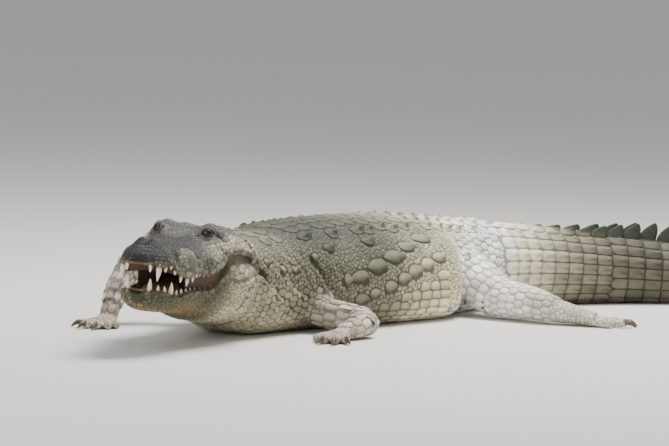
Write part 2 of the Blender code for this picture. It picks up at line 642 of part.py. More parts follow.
def length_mesh(limb, name, grow=0.0):
    """One length of a limb."""
    return loft_mesh(name, tube_rings(limb[name], GIRTH[name], LIMB_SIDES, 4, grow))


def digit_paths(limb, foot, digits, inner):
    """Path in SKULL of each digit: from inside the palm out along its own angle, down to the floor."""
    root, palm = (np.array(point) for point in limb[foot])
    heading = np.arctan2(palm[1] - root[1], palm[0] - root[0])
    paths = []
    for angle, length, clawed in digits:
        turn = heading + np.radians(angle) * inner
        out = np.array([np.cos(turn), np.sin(turn)])
        start = root[:2] + 0.55 * (palm - root)[:2] + out * 0.02
        tip = start + out * length
        paths.append((((*start, 0.036), (*tip, 0.024)), clawed))
    return paths


def digit_mesh(name, path, grow=0.0):
    """One finger or toe."""
    girths = ((DIGIT_RADIUS * 1.2, DIGIT_RADIUS * 1.1), (DIGIT_RADIUS * 0.8, DIGIT_RADIUS * 0.8))
    return loft_mesh(name, tube_rings(path, girths, DIGIT_SIDES, 2, grow, rounding=0.8))


def claw_mesh(name, path):
    """Curved claw whose root is inside the end of its digit."""
    root, tip = (np.array(point) for point in path)
    out = np.array([*(tip - root)[:2], 0.0])
    out /= np.linalg.norm(out)
    start = tip + out * (DIGIT_RADIUS * 0.8 * 0.8 + 0.007) + (0, 0, 0.002)
    end = tip + out * CLAW_LENGTH
    route = (start, (start + end) / 2 + (0, 0, CLAW_ARCH), (*end[:2], CLAW_TIP_HEIGHT))
    return loft_mesh(name, tube_rings(route, CLAW_GIRTH, DIGIT_SIDES, 3, rounding=0.3))


def web_mesh(paths):
    """Thin web between the toes: a fan from the sole to three quarters of each toe."""
    root = np.array(paths[0][0][0]) * 0.5 + np.array(paths[-1][0][0]) * 0.5
    rim = []
    for (path, _), (following, _) in zip(paths[:-1], paths[1:]):
        near = np.array(path[0]) + (np.array(path[1]) - np.array(path[0])) * 0.95
        far = np.array(following[0]) + (np.array(following[1]) - np.array(following[0])) * 0.95
        hollow = (near + far) / 2 * 0.88 + root * 0.12
        rim += [near, hollow]
    rim.append(far)
    back = root + (root - (rim[0] + rim[-1]) / 2) * 0.15
    outline = np.array([back, *rim])[:, :2] * SKULL
    low, high = 0.014 * SKULL, (0.014 + WEB_THICKNESS) * SKULL
    work = bmesh.new()
    corners = [work.verts.new((x, y, low)) for x, y in outline]
    face = work.faces.new(corners)
    extruded = bmesh.ops.extrude_face_region(work, geom=[face])["geom"]
    raised = [item for item in extruded if isinstance(item, bmesh.types.BMVert)]
    bmesh.ops.translate(work, vec=(0, 0, high - low), verts=raised)
    return closed_mesh("web", work)


def build_limb(shop, limb, side, names, digits, inner, floor, body):
    """The three lengths of a limb, each cut by the one before it, with digits and claws on the last."""
    skin = material("hide_" + names[0] + "_" + side, (0.45, 0.42, 0.34), 0.60)
    horn = material("claw_" + names[0] + "_" + side, (0.20, 0.17, 0.12), 0.35)
    upper_name, lower_name, foot_name = names
    upper = shop.part(f"{upper_name}_{side}", length_mesh(limb, upper_name), skin)
    lower = shop.part(f"{lower_name}_{side}", length_mesh(limb, lower_name), skin)
    sole = loft_mesh(foot_name, tube_rings(limb[foot_name], GIRTH[foot_name], LIMB_SIDES, 2))
    foot = shop.part(f"{foot_name}_{side}", sole, skin)
    paths = digit_paths(limb, foot_name, digits, inner)
    for number, (path, _) in enumerate(paths, start=1):
        tool = shop.tool(f"{foot_name}_{side}_digit_{number}", digit_mesh("digit", path))
        shop.combine(foot, tool, "UNION")
    if foot_name == "foot":
        shop.combine(foot, shop.tool(f"web_{side}", web_mesh(paths)), "UNION")
    upper_cutter = shop.tool(f"{upper_name}_{side}_cutter", length_mesh(limb, upper_name, GAP))
    lower_cutter = shop.tool(f"{lower_name}_{side}_cutter", length_mesh(limb, lower_name, GAP))
    shop.combine(lower, upper_cutter, "DIFFERENCE")
    shop.combine(foot, lower_cutter, "DIFFERENCE")
    for member in (upper, lower):
        for cutter in body:
            shop.combine(member, cutter, "DIFFERENCE")
    for member in (upper, lower, foot):
        shop.combine(member, floor, "DIFFERENCE")
    for number, (path, clawed) in enumerate(paths, start=1):
        if clawed:
            shop.part(f"claw_{foot_name}_{side}_{number}", claw_mesh("claw", path), horn)


def build_limbs(shop):
    """All four limbs, cut to the flank and to the floor."""
    floor_mesh = bpy.data.meshes.new("floor")
    work = bmesh.new()
    place = Matrix.Translation((1.0, 1.0, -0.5)) @ Matrix.Diagonal((12.0, 12.0, 1.0, 1.0))
    bmesh.ops.create_cube(work, size=1.0, matrix=place)
    work.to_mesh(floor_mesh)
    work.free()
    floor = shop.tool("floor", floor_mesh)
    neck, trunk, tail = flank_cutters(shop)
    arm, leg = ("upper_arm", "forearm", "hand"), ("thigh", "shank", "foot")
    build_limb(shop, ARM_LEFT, "left", arm, FINGERS, 1, floor, (neck, trunk))
    build_limb(shop, ARM_RIGHT, "right", arm, FINGERS, -1, floor, (neck, trunk))
    build_limb(shop, LEG_LEFT, "left", leg, TOES, 1, floor, (trunk, tail))
    build_limb(shop, LEG_RIGHT, "right", leg, TOES, -1, floor, (trunk, tail))


def main():
    """Builds the whole animal."""
    for old in list(bpy.data.objects):
        bpy.data.objects.remove(old, do_unlink=True)
    shop = Workshop()
    build_body(shop)
    build_head(shop)
    build_limbs(shop)


main()
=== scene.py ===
"""Looks of a life-size mugger crocodile that rests on its belly, for a museum's shelf of models.

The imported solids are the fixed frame. One skin replaces every node of flesh, and scales, crest,
eyes, lids, teeth, claws and tongue are built over and into it. Units are metres in the row frame,
+Z up with the floor at z = 0; lengths in the tables are multiples of SKULL, the length of the head,
as they are in the part's own source, and a place along the body is a distance behind the skull.
"""

import logging  # noqa: E402
from dataclasses import dataclass, replace  # noqa: E402
from enum import Enum  # noqa: E402
from functools import cached_property  # noqa: E402

import bpy  # noqa: E402
import numpy as np  # noqa: E402
from mathutils import Matrix, Vector  # noqa: E402
from mathutils.kdtree import KDTree  # noqa: E402

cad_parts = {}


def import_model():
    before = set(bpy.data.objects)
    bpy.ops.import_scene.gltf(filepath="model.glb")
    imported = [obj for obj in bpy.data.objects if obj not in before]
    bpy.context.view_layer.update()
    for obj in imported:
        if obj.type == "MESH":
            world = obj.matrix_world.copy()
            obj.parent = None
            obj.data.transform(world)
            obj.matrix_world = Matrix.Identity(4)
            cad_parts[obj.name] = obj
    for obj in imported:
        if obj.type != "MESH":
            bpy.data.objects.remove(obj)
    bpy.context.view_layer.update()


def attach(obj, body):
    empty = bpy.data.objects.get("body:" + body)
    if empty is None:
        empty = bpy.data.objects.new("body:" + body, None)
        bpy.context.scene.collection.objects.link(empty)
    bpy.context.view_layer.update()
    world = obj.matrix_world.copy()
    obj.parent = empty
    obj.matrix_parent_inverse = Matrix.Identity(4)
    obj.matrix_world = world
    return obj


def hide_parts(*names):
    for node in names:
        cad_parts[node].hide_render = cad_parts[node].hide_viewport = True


Array = np.ndarray
Table = tuple[tuple[float, float], ...]
Point = tuple[float, float, float]
Span = tuple[float, float]
Colour = tuple[float, float, float]

SKULL = 0.50  # head length in metres
BODY_LENGTH = 6.3
BELLY_PLACE = 1.6  # distance along the spine of the row's origin
COAT_DEPTH = 0.0035  # how far the skin lies inside the animal's outline
HEAD_COAT_DEPTH = 0.0012
COLOUR_LAYER = "hide"  # attribute with the colour of each vertex
SEED = 7

log = logging.getLogger("crocodile")


# ---------------------------------------------------------------- numbers
def smooth(x: Array | float, table: Table) -> Array:
    """Value of a smooth curve through (place, value) pairs: cubic pieces with no overshoot.

    Args:
        x: places to read.
        table: pairs in rising order of place.
    Returns:
        the curve's values, of the shape of x.
    """
    places, values = (np.array(column, float) for column in zip(*table))
    x = np.asarray(x, float)
    step = np.diff(places)
    rise = np.diff(values) / step
    slope = np.zeros_like(places)
    product = rise[:-1] * rise[1:]
    slope[1:-1] = np.where(product > 0, 2 * product / (rise[:-1] + rise[1:] + 1e-12), 0.0)
    slope[0], slope[-1] = rise[0], rise[-1]
    i = np.clip(np.searchsorted(places, x, side="right") - 1, 0, len(places) - 2)
    t = np.clip((x - places[i]) / step[i], 0, 1)
    start = (2 * t**3 - 3 * t**2 + 1) * values[i] + (t**3 - 2 * t**2 + t) * step[i] * slope[i]
    end = (3 * t**2 - 2 * t**3) * values[i + 1] + (t**3 - t**2) * step[i] * slope[i + 1]
    return start + end


def ramp(x: Array, low: float, high: float) -> Array:
    """Soft step: 0 at low, 1 at high (which may be the smaller), by 3t^2 - 2t^3."""
    t = np.clip((x - low) / (high - low), 0.0, 1.0)
    return t * t * (3.0 - 2.0 * t)


def bell(*offsets: Array) -> Array:
    """Bell curve of offsets given in widths: 1 where all are 0, exp(-1) at one width."""
    return np.exp(-sum(offset**2 for offset in offsets))


def signed_power(value: Array, power: Array | float) -> Array:
    """Odd power of a value, which keeps its sign."""
    return np.sign(value) * np.abs(value) ** power


def turns(count: int, start: float = 0.0) -> Array:
    """Angles evenly round a circle from a start."""
    return np.linspace(start, start + 2 * np.pi, count, endpoint=False)


def traced(at: Array, places: Array, points: Array) -> Array:
    """Points read in straight lines between given ones, at places along them."""
    return np.stack([np.interp(at, places, column) for column in points.T], -1)


def curved(at: Array, places: Array, points: Array) -> Array:
    """Points read on a smooth curve through given ones, at places along it."""
    return np.stack([smooth(at, tuple(zip(places, column))) for column in points.T], -1)


def grounded(points: Array, level: float = 0.0) -> Array:
    """The points, none of them lower than a level."""
    return np.concatenate([points[..., :2], np.maximum(points[..., 2:], level)], -1)


def unit(vectors: Array) -> Array:
    """Vectors of length one."""
    return vectors / np.maximum(np.linalg.norm(vectors, axis=-1, keepdims=True), 1e-12)


def dot(a: Array, b: Array) -> Array:
    """Inner product along the last axis."""
    return (a * b).sum(-1)


def noise(points: Array, size: float, seed: int = 0) -> Array:
    """Value noise between -1 and 1: hashed corners of a cubic grid, blended by soft steps.

    Args:
        points: (N, 3) places.
        size: edge of the grid's cubes, in metres.
        seed: picks another pattern.
    Returns:
        (N,) values.
    """
    place = points / size + 1000.0
    cell = np.floor(place).astype(np.int64)
    part = place - cell
    part = part * part * (3.0 - 2.0 * part)
    total = np.zeros(len(points))
    for corner in range(8):
        shift = np.array([corner & 1, corner >> 1 & 1, corner >> 2 & 1])
        key = (cell + shift) * (73856093, 19349663, 83492791)
        mixed = (key[:, 0] ^ key[:, 1] ^ key[:, 2]) + seed * 2654435761
        mixed = (mixed ^ (mixed >> 13)) * 1274126177 & 0xFFFFFFFF
        mixed = (mixed ^ (mixed >> 16)) & 0xFFFF
        weight = np.where(shift, part, 1.0 - part).prod(-1)
        total += weight * (mixed / 32767.5 - 1.0)
    return total


def layered(points: Array, size: float, seed: int = 0, layers: int = 3) -> Array:
    """Sum of noises, each of half the size and half the strength of the one before."""
    return sum(noise(points, size / 2**k, seed + k) / 2**k for k in range(layers))


# ---------------------------------------------------------------- meshes
@dataclass
class Net:
    """Points and faces of a mesh in the making; faces are arrays of equal corner counts."""

    points: Array
    faces: list[Array]


def joined(nets: list[Net]) -> Net:
    """One net of many, points in the same order."""
    starts = np.cumsum([0] + [len(net.points) for net in nets[:-1]])
    faces = [block + int(start) for net, start in zip(nets, starts) for block in net.faces]
    return Net(np.concatenate([net.points for net in nets]), faces)


def outwards(points: Array, walls: Array, centres: Array) -> bool:
    """Whether four-cornered faces mostly look away from the centres."""
    corner = points[walls]
    area = np.cross(corner[:, 2] - corner[:, 0], corner[:, 3] - corner[:, 1])
    return dot(area, corner.mean(1) - centres).sum() >= 0


def loft(rings: Array) -> Net:
    """Skin through rings of equal count, with a fan over the middle of each end ring.

    Args:
        rings: (rings, count, 3) points.
    Returns:
        the net, wound outwards whichever way the rings run.
    """
    count, size = rings.shape[:2]
    index = np.arange(count * size).reshape(count, size)
    after = np.roll(index, -1, axis=1)
    walls = np.stack([index[:-1], after[:-1], after[1:], index[1:]], -1).reshape(-1, 4)
    points = np.concatenate([rings.reshape(-1, 3), [rings[0].mean(0), rings[-1].mean(0)]])
    front = np.stack([np.full(size, count * size), after[0], index[0]], -1)
    rear = np.stack([np.full(size, count * size + 1), index[-1], after[-1]], -1)
    blocks = [walls, np.concatenate([front, rear])]
    if not outwards(points, walls, points.mean(0)):
        blocks = [block[:, ::-1] for block in blocks]
    return Net(points, blocks)


def mesh_object(name: str, net: Net) -> bpy.types.Object:
    """Smooth-shaded object of a net, at the origin."""
    mesh = bpy.data.meshes.new(name)
    loops = np.concatenate([block.ravel() for block in net.faces])
    sizes = np.concatenate([np.full(len(block), block.shape[1]) for block in net.faces])
    mesh.vertices.add(len(net.points))
    moved_to(mesh, net.points)
    mesh.loops.add(len(loops))
    mesh.loops.foreach_set("vertex_index", loops.astype(np.int32))
    mesh.polygons.add(len(sizes))
    mesh.polygons.foreach_set("loop_start", (np.cumsum(sizes) - sizes).astype(np.int32))
    mesh.update(calc_edges=True)
    mesh.validate()
    mesh.shade_smooth()
    made = bpy.data.objects.new(name, mesh)
    bpy.context.scene.collection.objects.link(made)
    return made


def vectors_of(values: bpy.types.bpy_prop_collection, name: str) -> Array:
    """(N, 3) values of one property of a mesh's vertices."""
    flat = np.empty(len(values) * 3, np.float32)
    values.foreach_get(name, flat)
    return flat.reshape(-1, 3).astype(float)


def vertices_of(mesh: bpy.types.Mesh) -> Array:
    """(N, 3) places of a mesh's vertices."""
    return vectors_of(mesh.vertices, "co")


def moved_to(mesh: bpy.types.Mesh, points: Array) -> None:
    """Puts a mesh's vertices at given places."""
    mesh.vertices.foreach_set("co", np.ascontiguousarray(points, np.float32).ravel())


def paint(mesh: bpy.types.Mesh, colours: Array) -> None:
    """Writes a colour for each vertex as the attribute that the finishes read."""
    opaque = np.concatenate([colours, np.ones((len(colours), 1))], 1)
    layer = mesh.attributes.new(COLOUR_LAYER, "FLOAT_COLOR", "POINT")
    layer.data.foreach_set("color", np.ascontiguousarray(opaque, np.float32).ravel())


# ---------------------------------------------------------------- the animal's outline
class Sheet:
    """Surface of two parameters: a place along it, and an angle or share around it."""

    top: float = np.pi  # the angle runs from -top to top
    angle_steps: int = 144  # of the arc table, an even number
    share_steps: int = 160
    station_steps: int = 89

    def raw(self, along: Array, around: Array, grow: float = 0.0) -> Array:
        """Point at a place along and an angle around; each kind of sheet gives its formula."""
        raise NotImplementedError

    def rows(self, along: Array) -> tuple[Array, Array, Array]:
        """Arc table of cross sections.

        Args:
            along: (R,) places of the sections.
        Returns:
            the sampled angles (A,), the arc length from the middle of the back to each angle
            (R, A), negative on the right, and half the girth of each section (R,).
        """
        angles = np.linspace(-self.top, self.top, self.angle_steps + 1)
        points = self.raw(along[:, None], angles[None])
        steps = np.linalg.norm(np.diff(points, axis=1), axis=2)
        length = np.concatenate([np.zeros((len(along), 1)), np.cumsum(steps, 1)], 1)
        length = length - length[:, [self.angle_steps // 2]]
        return angles, length, (length[:, -1] - length[:, 0]) / 2

    def place(self, along: Array, share: Array, grow: float = 0.0) -> Array:
        """Points by their share of half the girth, from -1 over 0 on the back to 1.

        Args:
            along: (N,) places along the sheet.
            share: (N,) shares around it.
            grow: metres added to the outline.
        Returns:
            (N, 3) points.
        """
        stations = np.linspace(along.min(), along.max() + 1e-6, self.station_steps + 1)
        angles, length, half = self.rows(stations)
        shares = np.linspace(-1, 1, self.share_steps + 1)
        table = np.array([np.interp(shares * reach, arc, angles) for reach, arc in zip(half, length)])
        row = (along - stations[0]) / (stations[1] - stations[0])
        column = (np.clip(share, -1, 1) + 1) * (self.share_steps // 2)
        i = np.clip(row.astype(int), 0, self.station_steps - 1)
        j = np.clip(column.astype(int), 0, self.share_steps - 1)
        u, v = row - i, column - j
        low = table[i, j] * (1 - v) + table[i, j + 1] * v
        high = table[i + 1, j] * (1 - v) + table[i + 1, j + 1] * v
        return self.raw(along, low * (1 - u) + high * u, grow)


@dataclass(frozen=True)
class Head:
    """Skull and lower jaw: sections across the head, forward from the jaw joint."""

    joint_back: float = 0.03
    joint_height: float = 0.38
    yaw: float = 20.0
    roll: float = 2.5
    upper_pitch: float = 8.0
    lower_pitch: float = 0.0
    middle_pitch: float = 4.0
    back: float = -0.07
    fade_end: float = 0.15  # behind it the pitch of each jaw fades to the middle one
    snout_tip: float = 1.06
    jaw_tip: float = 1.045
    lip_half_width: Table = (
        (-0.07, 0.30), (0.0, 0.325), (0.12, 0.335), (0.25, 0.315), (0.38, 0.275), (0.50, 0.24), (0.62, 0.222),
        (0.74, 0.218), (0.82, 0.19), (0.88, 0.162), (0.94, 0.154), (1.0, 0.132), (1.04, 0.094), (1.06, 0.055),
    )  # fmt: skip
    lip_height: Table = (
        (-0.07, 0.035), (0.0, 0.045), (0.12, 0.07), (0.2, 0.092), (0.31, 0.095), (0.38, 0.058),
        (0.44, 0.016), (0.5, -0.012), (0.6, -0.026), (0.67, -0.02), (0.74, -0.042), (0.8, -0.06),
        (0.86, -0.038), (0.905, 0.0), (0.95, -0.002), (1.0, -0.024), (1.04, -0.015), (1.06, 0.0),
    )  # fmt: skip
    roof_height: Table = (
        (-0.07, 0.216), (0.0, 0.240), (0.12, 0.260), (0.25, 0.258), (0.38, 0.230), (0.50, 0.185), (0.62, 0.155),
        (0.74, 0.142), (0.82, 0.130), (0.88, 0.122), (0.94, 0.120), (1.0, 0.102), (1.04, 0.068), (1.06, 0.042),
    )  # fmt: skip
    roof_power: Table = (
        (-0.07, 2.2), (0.12, 2.4), (0.38, 2.6), (0.62, 2.5), (0.84, 2.35), (0.94, 2.05), (1.06, 2.0),
    )  # fmt: skip
    jaw_half_width: Table = (
        (-0.07, 0.295), (0.0, 0.32), (0.12, 0.325), (0.25, 0.30), (0.38, 0.257), (0.50, 0.222), (0.62, 0.20),
        (0.74, 0.188), (0.82, 0.175), (0.88, 0.160), (0.94, 0.142), (1.0, 0.108), (1.03, 0.075), (1.045, 0.045),
    )  # fmt: skip
    jaw_rim: Table = (
        (-0.07, 0.012), (0.0, 0.032), (0.12, 0.066), (0.2, 0.094), (0.3, 0.102), (0.36, 0.056),
        (0.42, 0.004), (0.5, -0.03), (0.62, -0.026), (0.74, -0.03), (0.82, -0.043), (0.88, -0.036),
        (0.94, -0.018), (1.0, -0.008), (1.045, 0.0),
    )  # fmt: skip
    jaw_bottom: Table = (
        (-0.07, -0.265), (0.06, -0.273), (0.25, -0.255), (0.38, -0.225), (0.50, -0.195), (0.62, -0.175),
        (0.80, -0.155), (0.92, -0.14), (1.0, -0.118), (1.03, -0.095), (1.045, -0.06),
    )  # fmt: skip
    # Forward, half of the space between the pair, radius along, radius across, height: the brow, the
    # corner of the skull table, the jaw muscle, the ridge before the eye, the snout's swollen cheek
    # and the nostril's rim; then the hollows between the eyes, behind the nose and between nostrils.
    relief: tuple[tuple[float, float, float, float, float], ...] = (
        (0.395, 0.142, 0.100, 0.070, 0.060),
        (0.13, 0.110, 0.090, 0.045, 0.020),
        (0.14, 0.285, 0.110, 0.060, 0.018),
        (0.55, 0.075, 0.070, 0.030, 0.018),
        (0.70, 0.130, 0.090, 0.060, 0.014),
        (0.955, 0.040, 0.035, 0.040, 0.036),
        (0.37, 0.0, 0.10, 0.055, -0.022),
        (0.86, 0.07, 0.05, 0.06, -0.014),
        (1.0, 0.0, 0.03, 0.03, -0.010),
    )
    eye: Point = (0.445, 0.145, 0.208)
    palate_arch: float = 0.022
    floor_sag: float = 0.028
    mouth_share: float = 0.9  # of the half width, that palate and mouth floor take
    cheek_front: float = 0.70
    cheek_share: Table = ((0.30, 0.97), (0.42, 0.89), (0.7, 0.76))  # of the jaw's half width
    throat_depth: float = 0.38
    sections: int = 56
    outline_points: int = 61
    mouth_points: int = 15

    def tilt(self, forward: Array, pitch: float) -> Array:
        """Angle that a place is tipped up; it fades behind, so that both jaws end in one plane."""
        opening = smooth(forward, ((self.back, 0.0), (self.fade_end, 1.0)))
        return np.radians(self.middle_pitch + (pitch - self.middle_pitch) * opening)

    def world(self, local: Array, pitch: float) -> Array:
        """World place of points of the head's own frame (forward, left, up, in SKULL).

        The head tips by its pitch, rolls, turns and moves to the jaw joint.

        Args:
            local: (..., 3) points.
            pitch: degrees that this jaw is tipped up.
        Returns:
            points in metres.
        """
        local = np.asarray(local, float)
        tilt = self.tilt(local[..., 0], pitch)
        roll, yaw = np.radians(self.roll), np.radians(self.yaw)
        local = local * SKULL
        forward = local[..., 0] * np.cos(tilt) - local[..., 2] * np.sin(tilt)
        rise = local[..., 0] * np.sin(tilt) + local[..., 2] * np.cos(tilt)
        left = local[..., 1] * np.cos(roll) + rise * np.sin(roll)
        up = rise * np.cos(roll) - local[..., 1] * np.sin(roll)
        ahead = forward - self.joint_back * SKULL
        x = -np.sin(yaw) * ahead + np.cos(yaw) * left
        y = -np.cos(yaw) * ahead - np.sin(yaw) * left
        return np.stack([x, y, self.joint_height * SKULL + up], -1) - ORIGIN

    def local(self, points: Array, pitch: float) -> Array:
        """The other way round from world(): (N, 3) points in metres to the head's own frame."""
        moved = points + ORIGIN
        roll, yaw = np.radians(self.roll), np.radians(self.yaw)
        ahead = -np.sin(yaw) * moved[:, 0] - np.cos(yaw) * moved[:, 1]
        left = np.cos(yaw) * moved[:, 0] - np.sin(yaw) * moved[:, 1]
        up = moved[:, 2] - self.joint_height * SKULL
        forward = ahead + self.joint_back * SKULL
        side = left * np.cos(roll) - up * np.sin(roll)
        rise = up * np.cos(roll) + left * np.sin(roll)
        x = forward / SKULL
        for _ in range(4):
            tilt = self.tilt(x, pitch)
            x = (forward * np.cos(tilt) + rise * np.sin(tilt)) / SKULL
        z = (rise * np.cos(tilt) - forward * np.sin(tilt)) / SKULL
        return np.stack([x, side / SKULL, z], -1)

    def bumps(self, forward: Array, side: Array) -> Array:
        """Height that the bumps and hollows add to the roof: a sum of bell curves."""
        total = np.zeros(np.broadcast(forward, side).shape)
        for along, apart, radius_along, radius_across, height in self.relief:
            across = (np.abs(side) - apart) / radius_across
            total = total + height * bell((forward - along) / radius_along, across)
        return total

    def roof(self, forward: Array, around: Array, grow: float = 0.0) -> Array:
        """Outside of the upper head in its own frame: half a superellipse over the lips, plus bumps."""
        half = smooth(forward, self.lip_half_width) + grow
        lip = smooth(forward, self.lip_height) - grow
        top = smooth(forward, self.roof_height) + grow
        power = 2 / smooth(forward, self.roof_power)
        level = np.maximum(np.cos(around), 0.0)
        side = half * signed_power(np.sin(around), power)
        up = lip + (top - lip) * level**power + self.bumps(forward, side) * level**0.5
        return np.stack([forward + 0 * side, side, up], -1)

    def chin(self, forward: Array, around: Array, grow: float = 0.0) -> Array:
        """Outside of the lower jaw in its own frame: half a superellipse under its rims."""
        half = smooth(forward, self.jaw_half_width) + grow
        rim = smooth(forward, self.jaw_rim) + grow
        bottom = smooth(forward, self.jaw_bottom) - grow
        side = half * signed_power(np.sin(around), 0.8)
        up = rim - (rim - bottom) * np.maximum(np.cos(around), 0.0) ** 0.8
        return np.stack([forward + 0 * side, side, up], -1)

    def shell(self, upper: bool, grow: float) -> Net:
        """Closed upper head with an arched palate, or lower jaw with the sagging floor of the mouth.

        Args:
            upper: True for the upper head.
            grow: length in SKULL added to the outline.
        Returns:
            the net; its sections stand closer together near the tip.
        """
        way, arch, tip = (1, self.palate_arch, self.snout_tip) if upper else (-1, self.floor_sag, self.jaw_tip)
        width, edge = (self.lip_half_width, self.lip_height) if upper else (self.jaw_half_width, self.jaw_rim)
        share = 1 - (1 - np.linspace(0, 1, self.sections)) ** 1.25
        x = (self.back - grow + (tip + grow - self.back + grow) * share)[:, None]
        outline = self.roof if upper else self.chin
        outside = outline(x, np.linspace(-np.pi / 2, np.pi / 2, self.outline_points)[None], grow)
        across = np.linspace(self.mouth_share, -self.mouth_share, self.mouth_points)
        half = (smooth(x, width) + grow) * across[None]
        up = smooth(x, edge) - way * grow + way * (arch * np.cos(across * np.pi / 2))[None]
        inside = np.stack([x + 0 * half, half, up], -1)
        pitch = self.upper_pitch if upper else self.lower_pitch
        return loft(grounded(self.world(np.concatenate([outside, inside], 1), pitch), -grow * SKULL))

    def cheek_net(self) -> Net:
        """Flesh that closes the mouth behind its corner: a block between palate and mouth floor.

        Its sides lie inside the lips and its front edge is hollow, so that the throat opens
        between two folds.
        """
        share = np.linspace(0, 1, 19)[:, None]
        bow = np.linspace(-1, 1, 25)[None]
        front = self.cheek_front - self.throat_depth * (1 - bow**2) ** 0.5
        reach = self.back + 0.02 + share * (front - self.back - 0.02)
        half = smooth(reach, self.jaw_half_width) * smooth(reach, self.cheek_share) * bow
        top = np.stack([reach, half, smooth(reach, self.lip_height) + 0.03], -1)
        base = np.stack([reach, half, smooth(reach, self.jaw_rim) - 0.04], -1)
        upper, lower = self.world(top, self.upper_pitch), self.world(base, self.lower_pitch)
        return loft(np.concatenate([upper, lower[:, ::-1]], 1))


@dataclass(frozen=True)
class JawSheet(Sheet):
    """Outside of the upper head or the lower jaw as a sheet, from its right edge to its left one."""

    upper: bool
    top = np.pi / 2

    def raw(self, along: Array, around: Array, grow: float = 0.0) -> Array:
        """The roof's or the chin's formula, in the world, kept above the floor."""
        outline, pitch = (HEAD.roof, HEAD.upper_pitch) if self.upper else (HEAD.chin, HEAD.lower_pitch)
        return grounded(HEAD.world(outline(along, around, grow / SKULL), pitch))


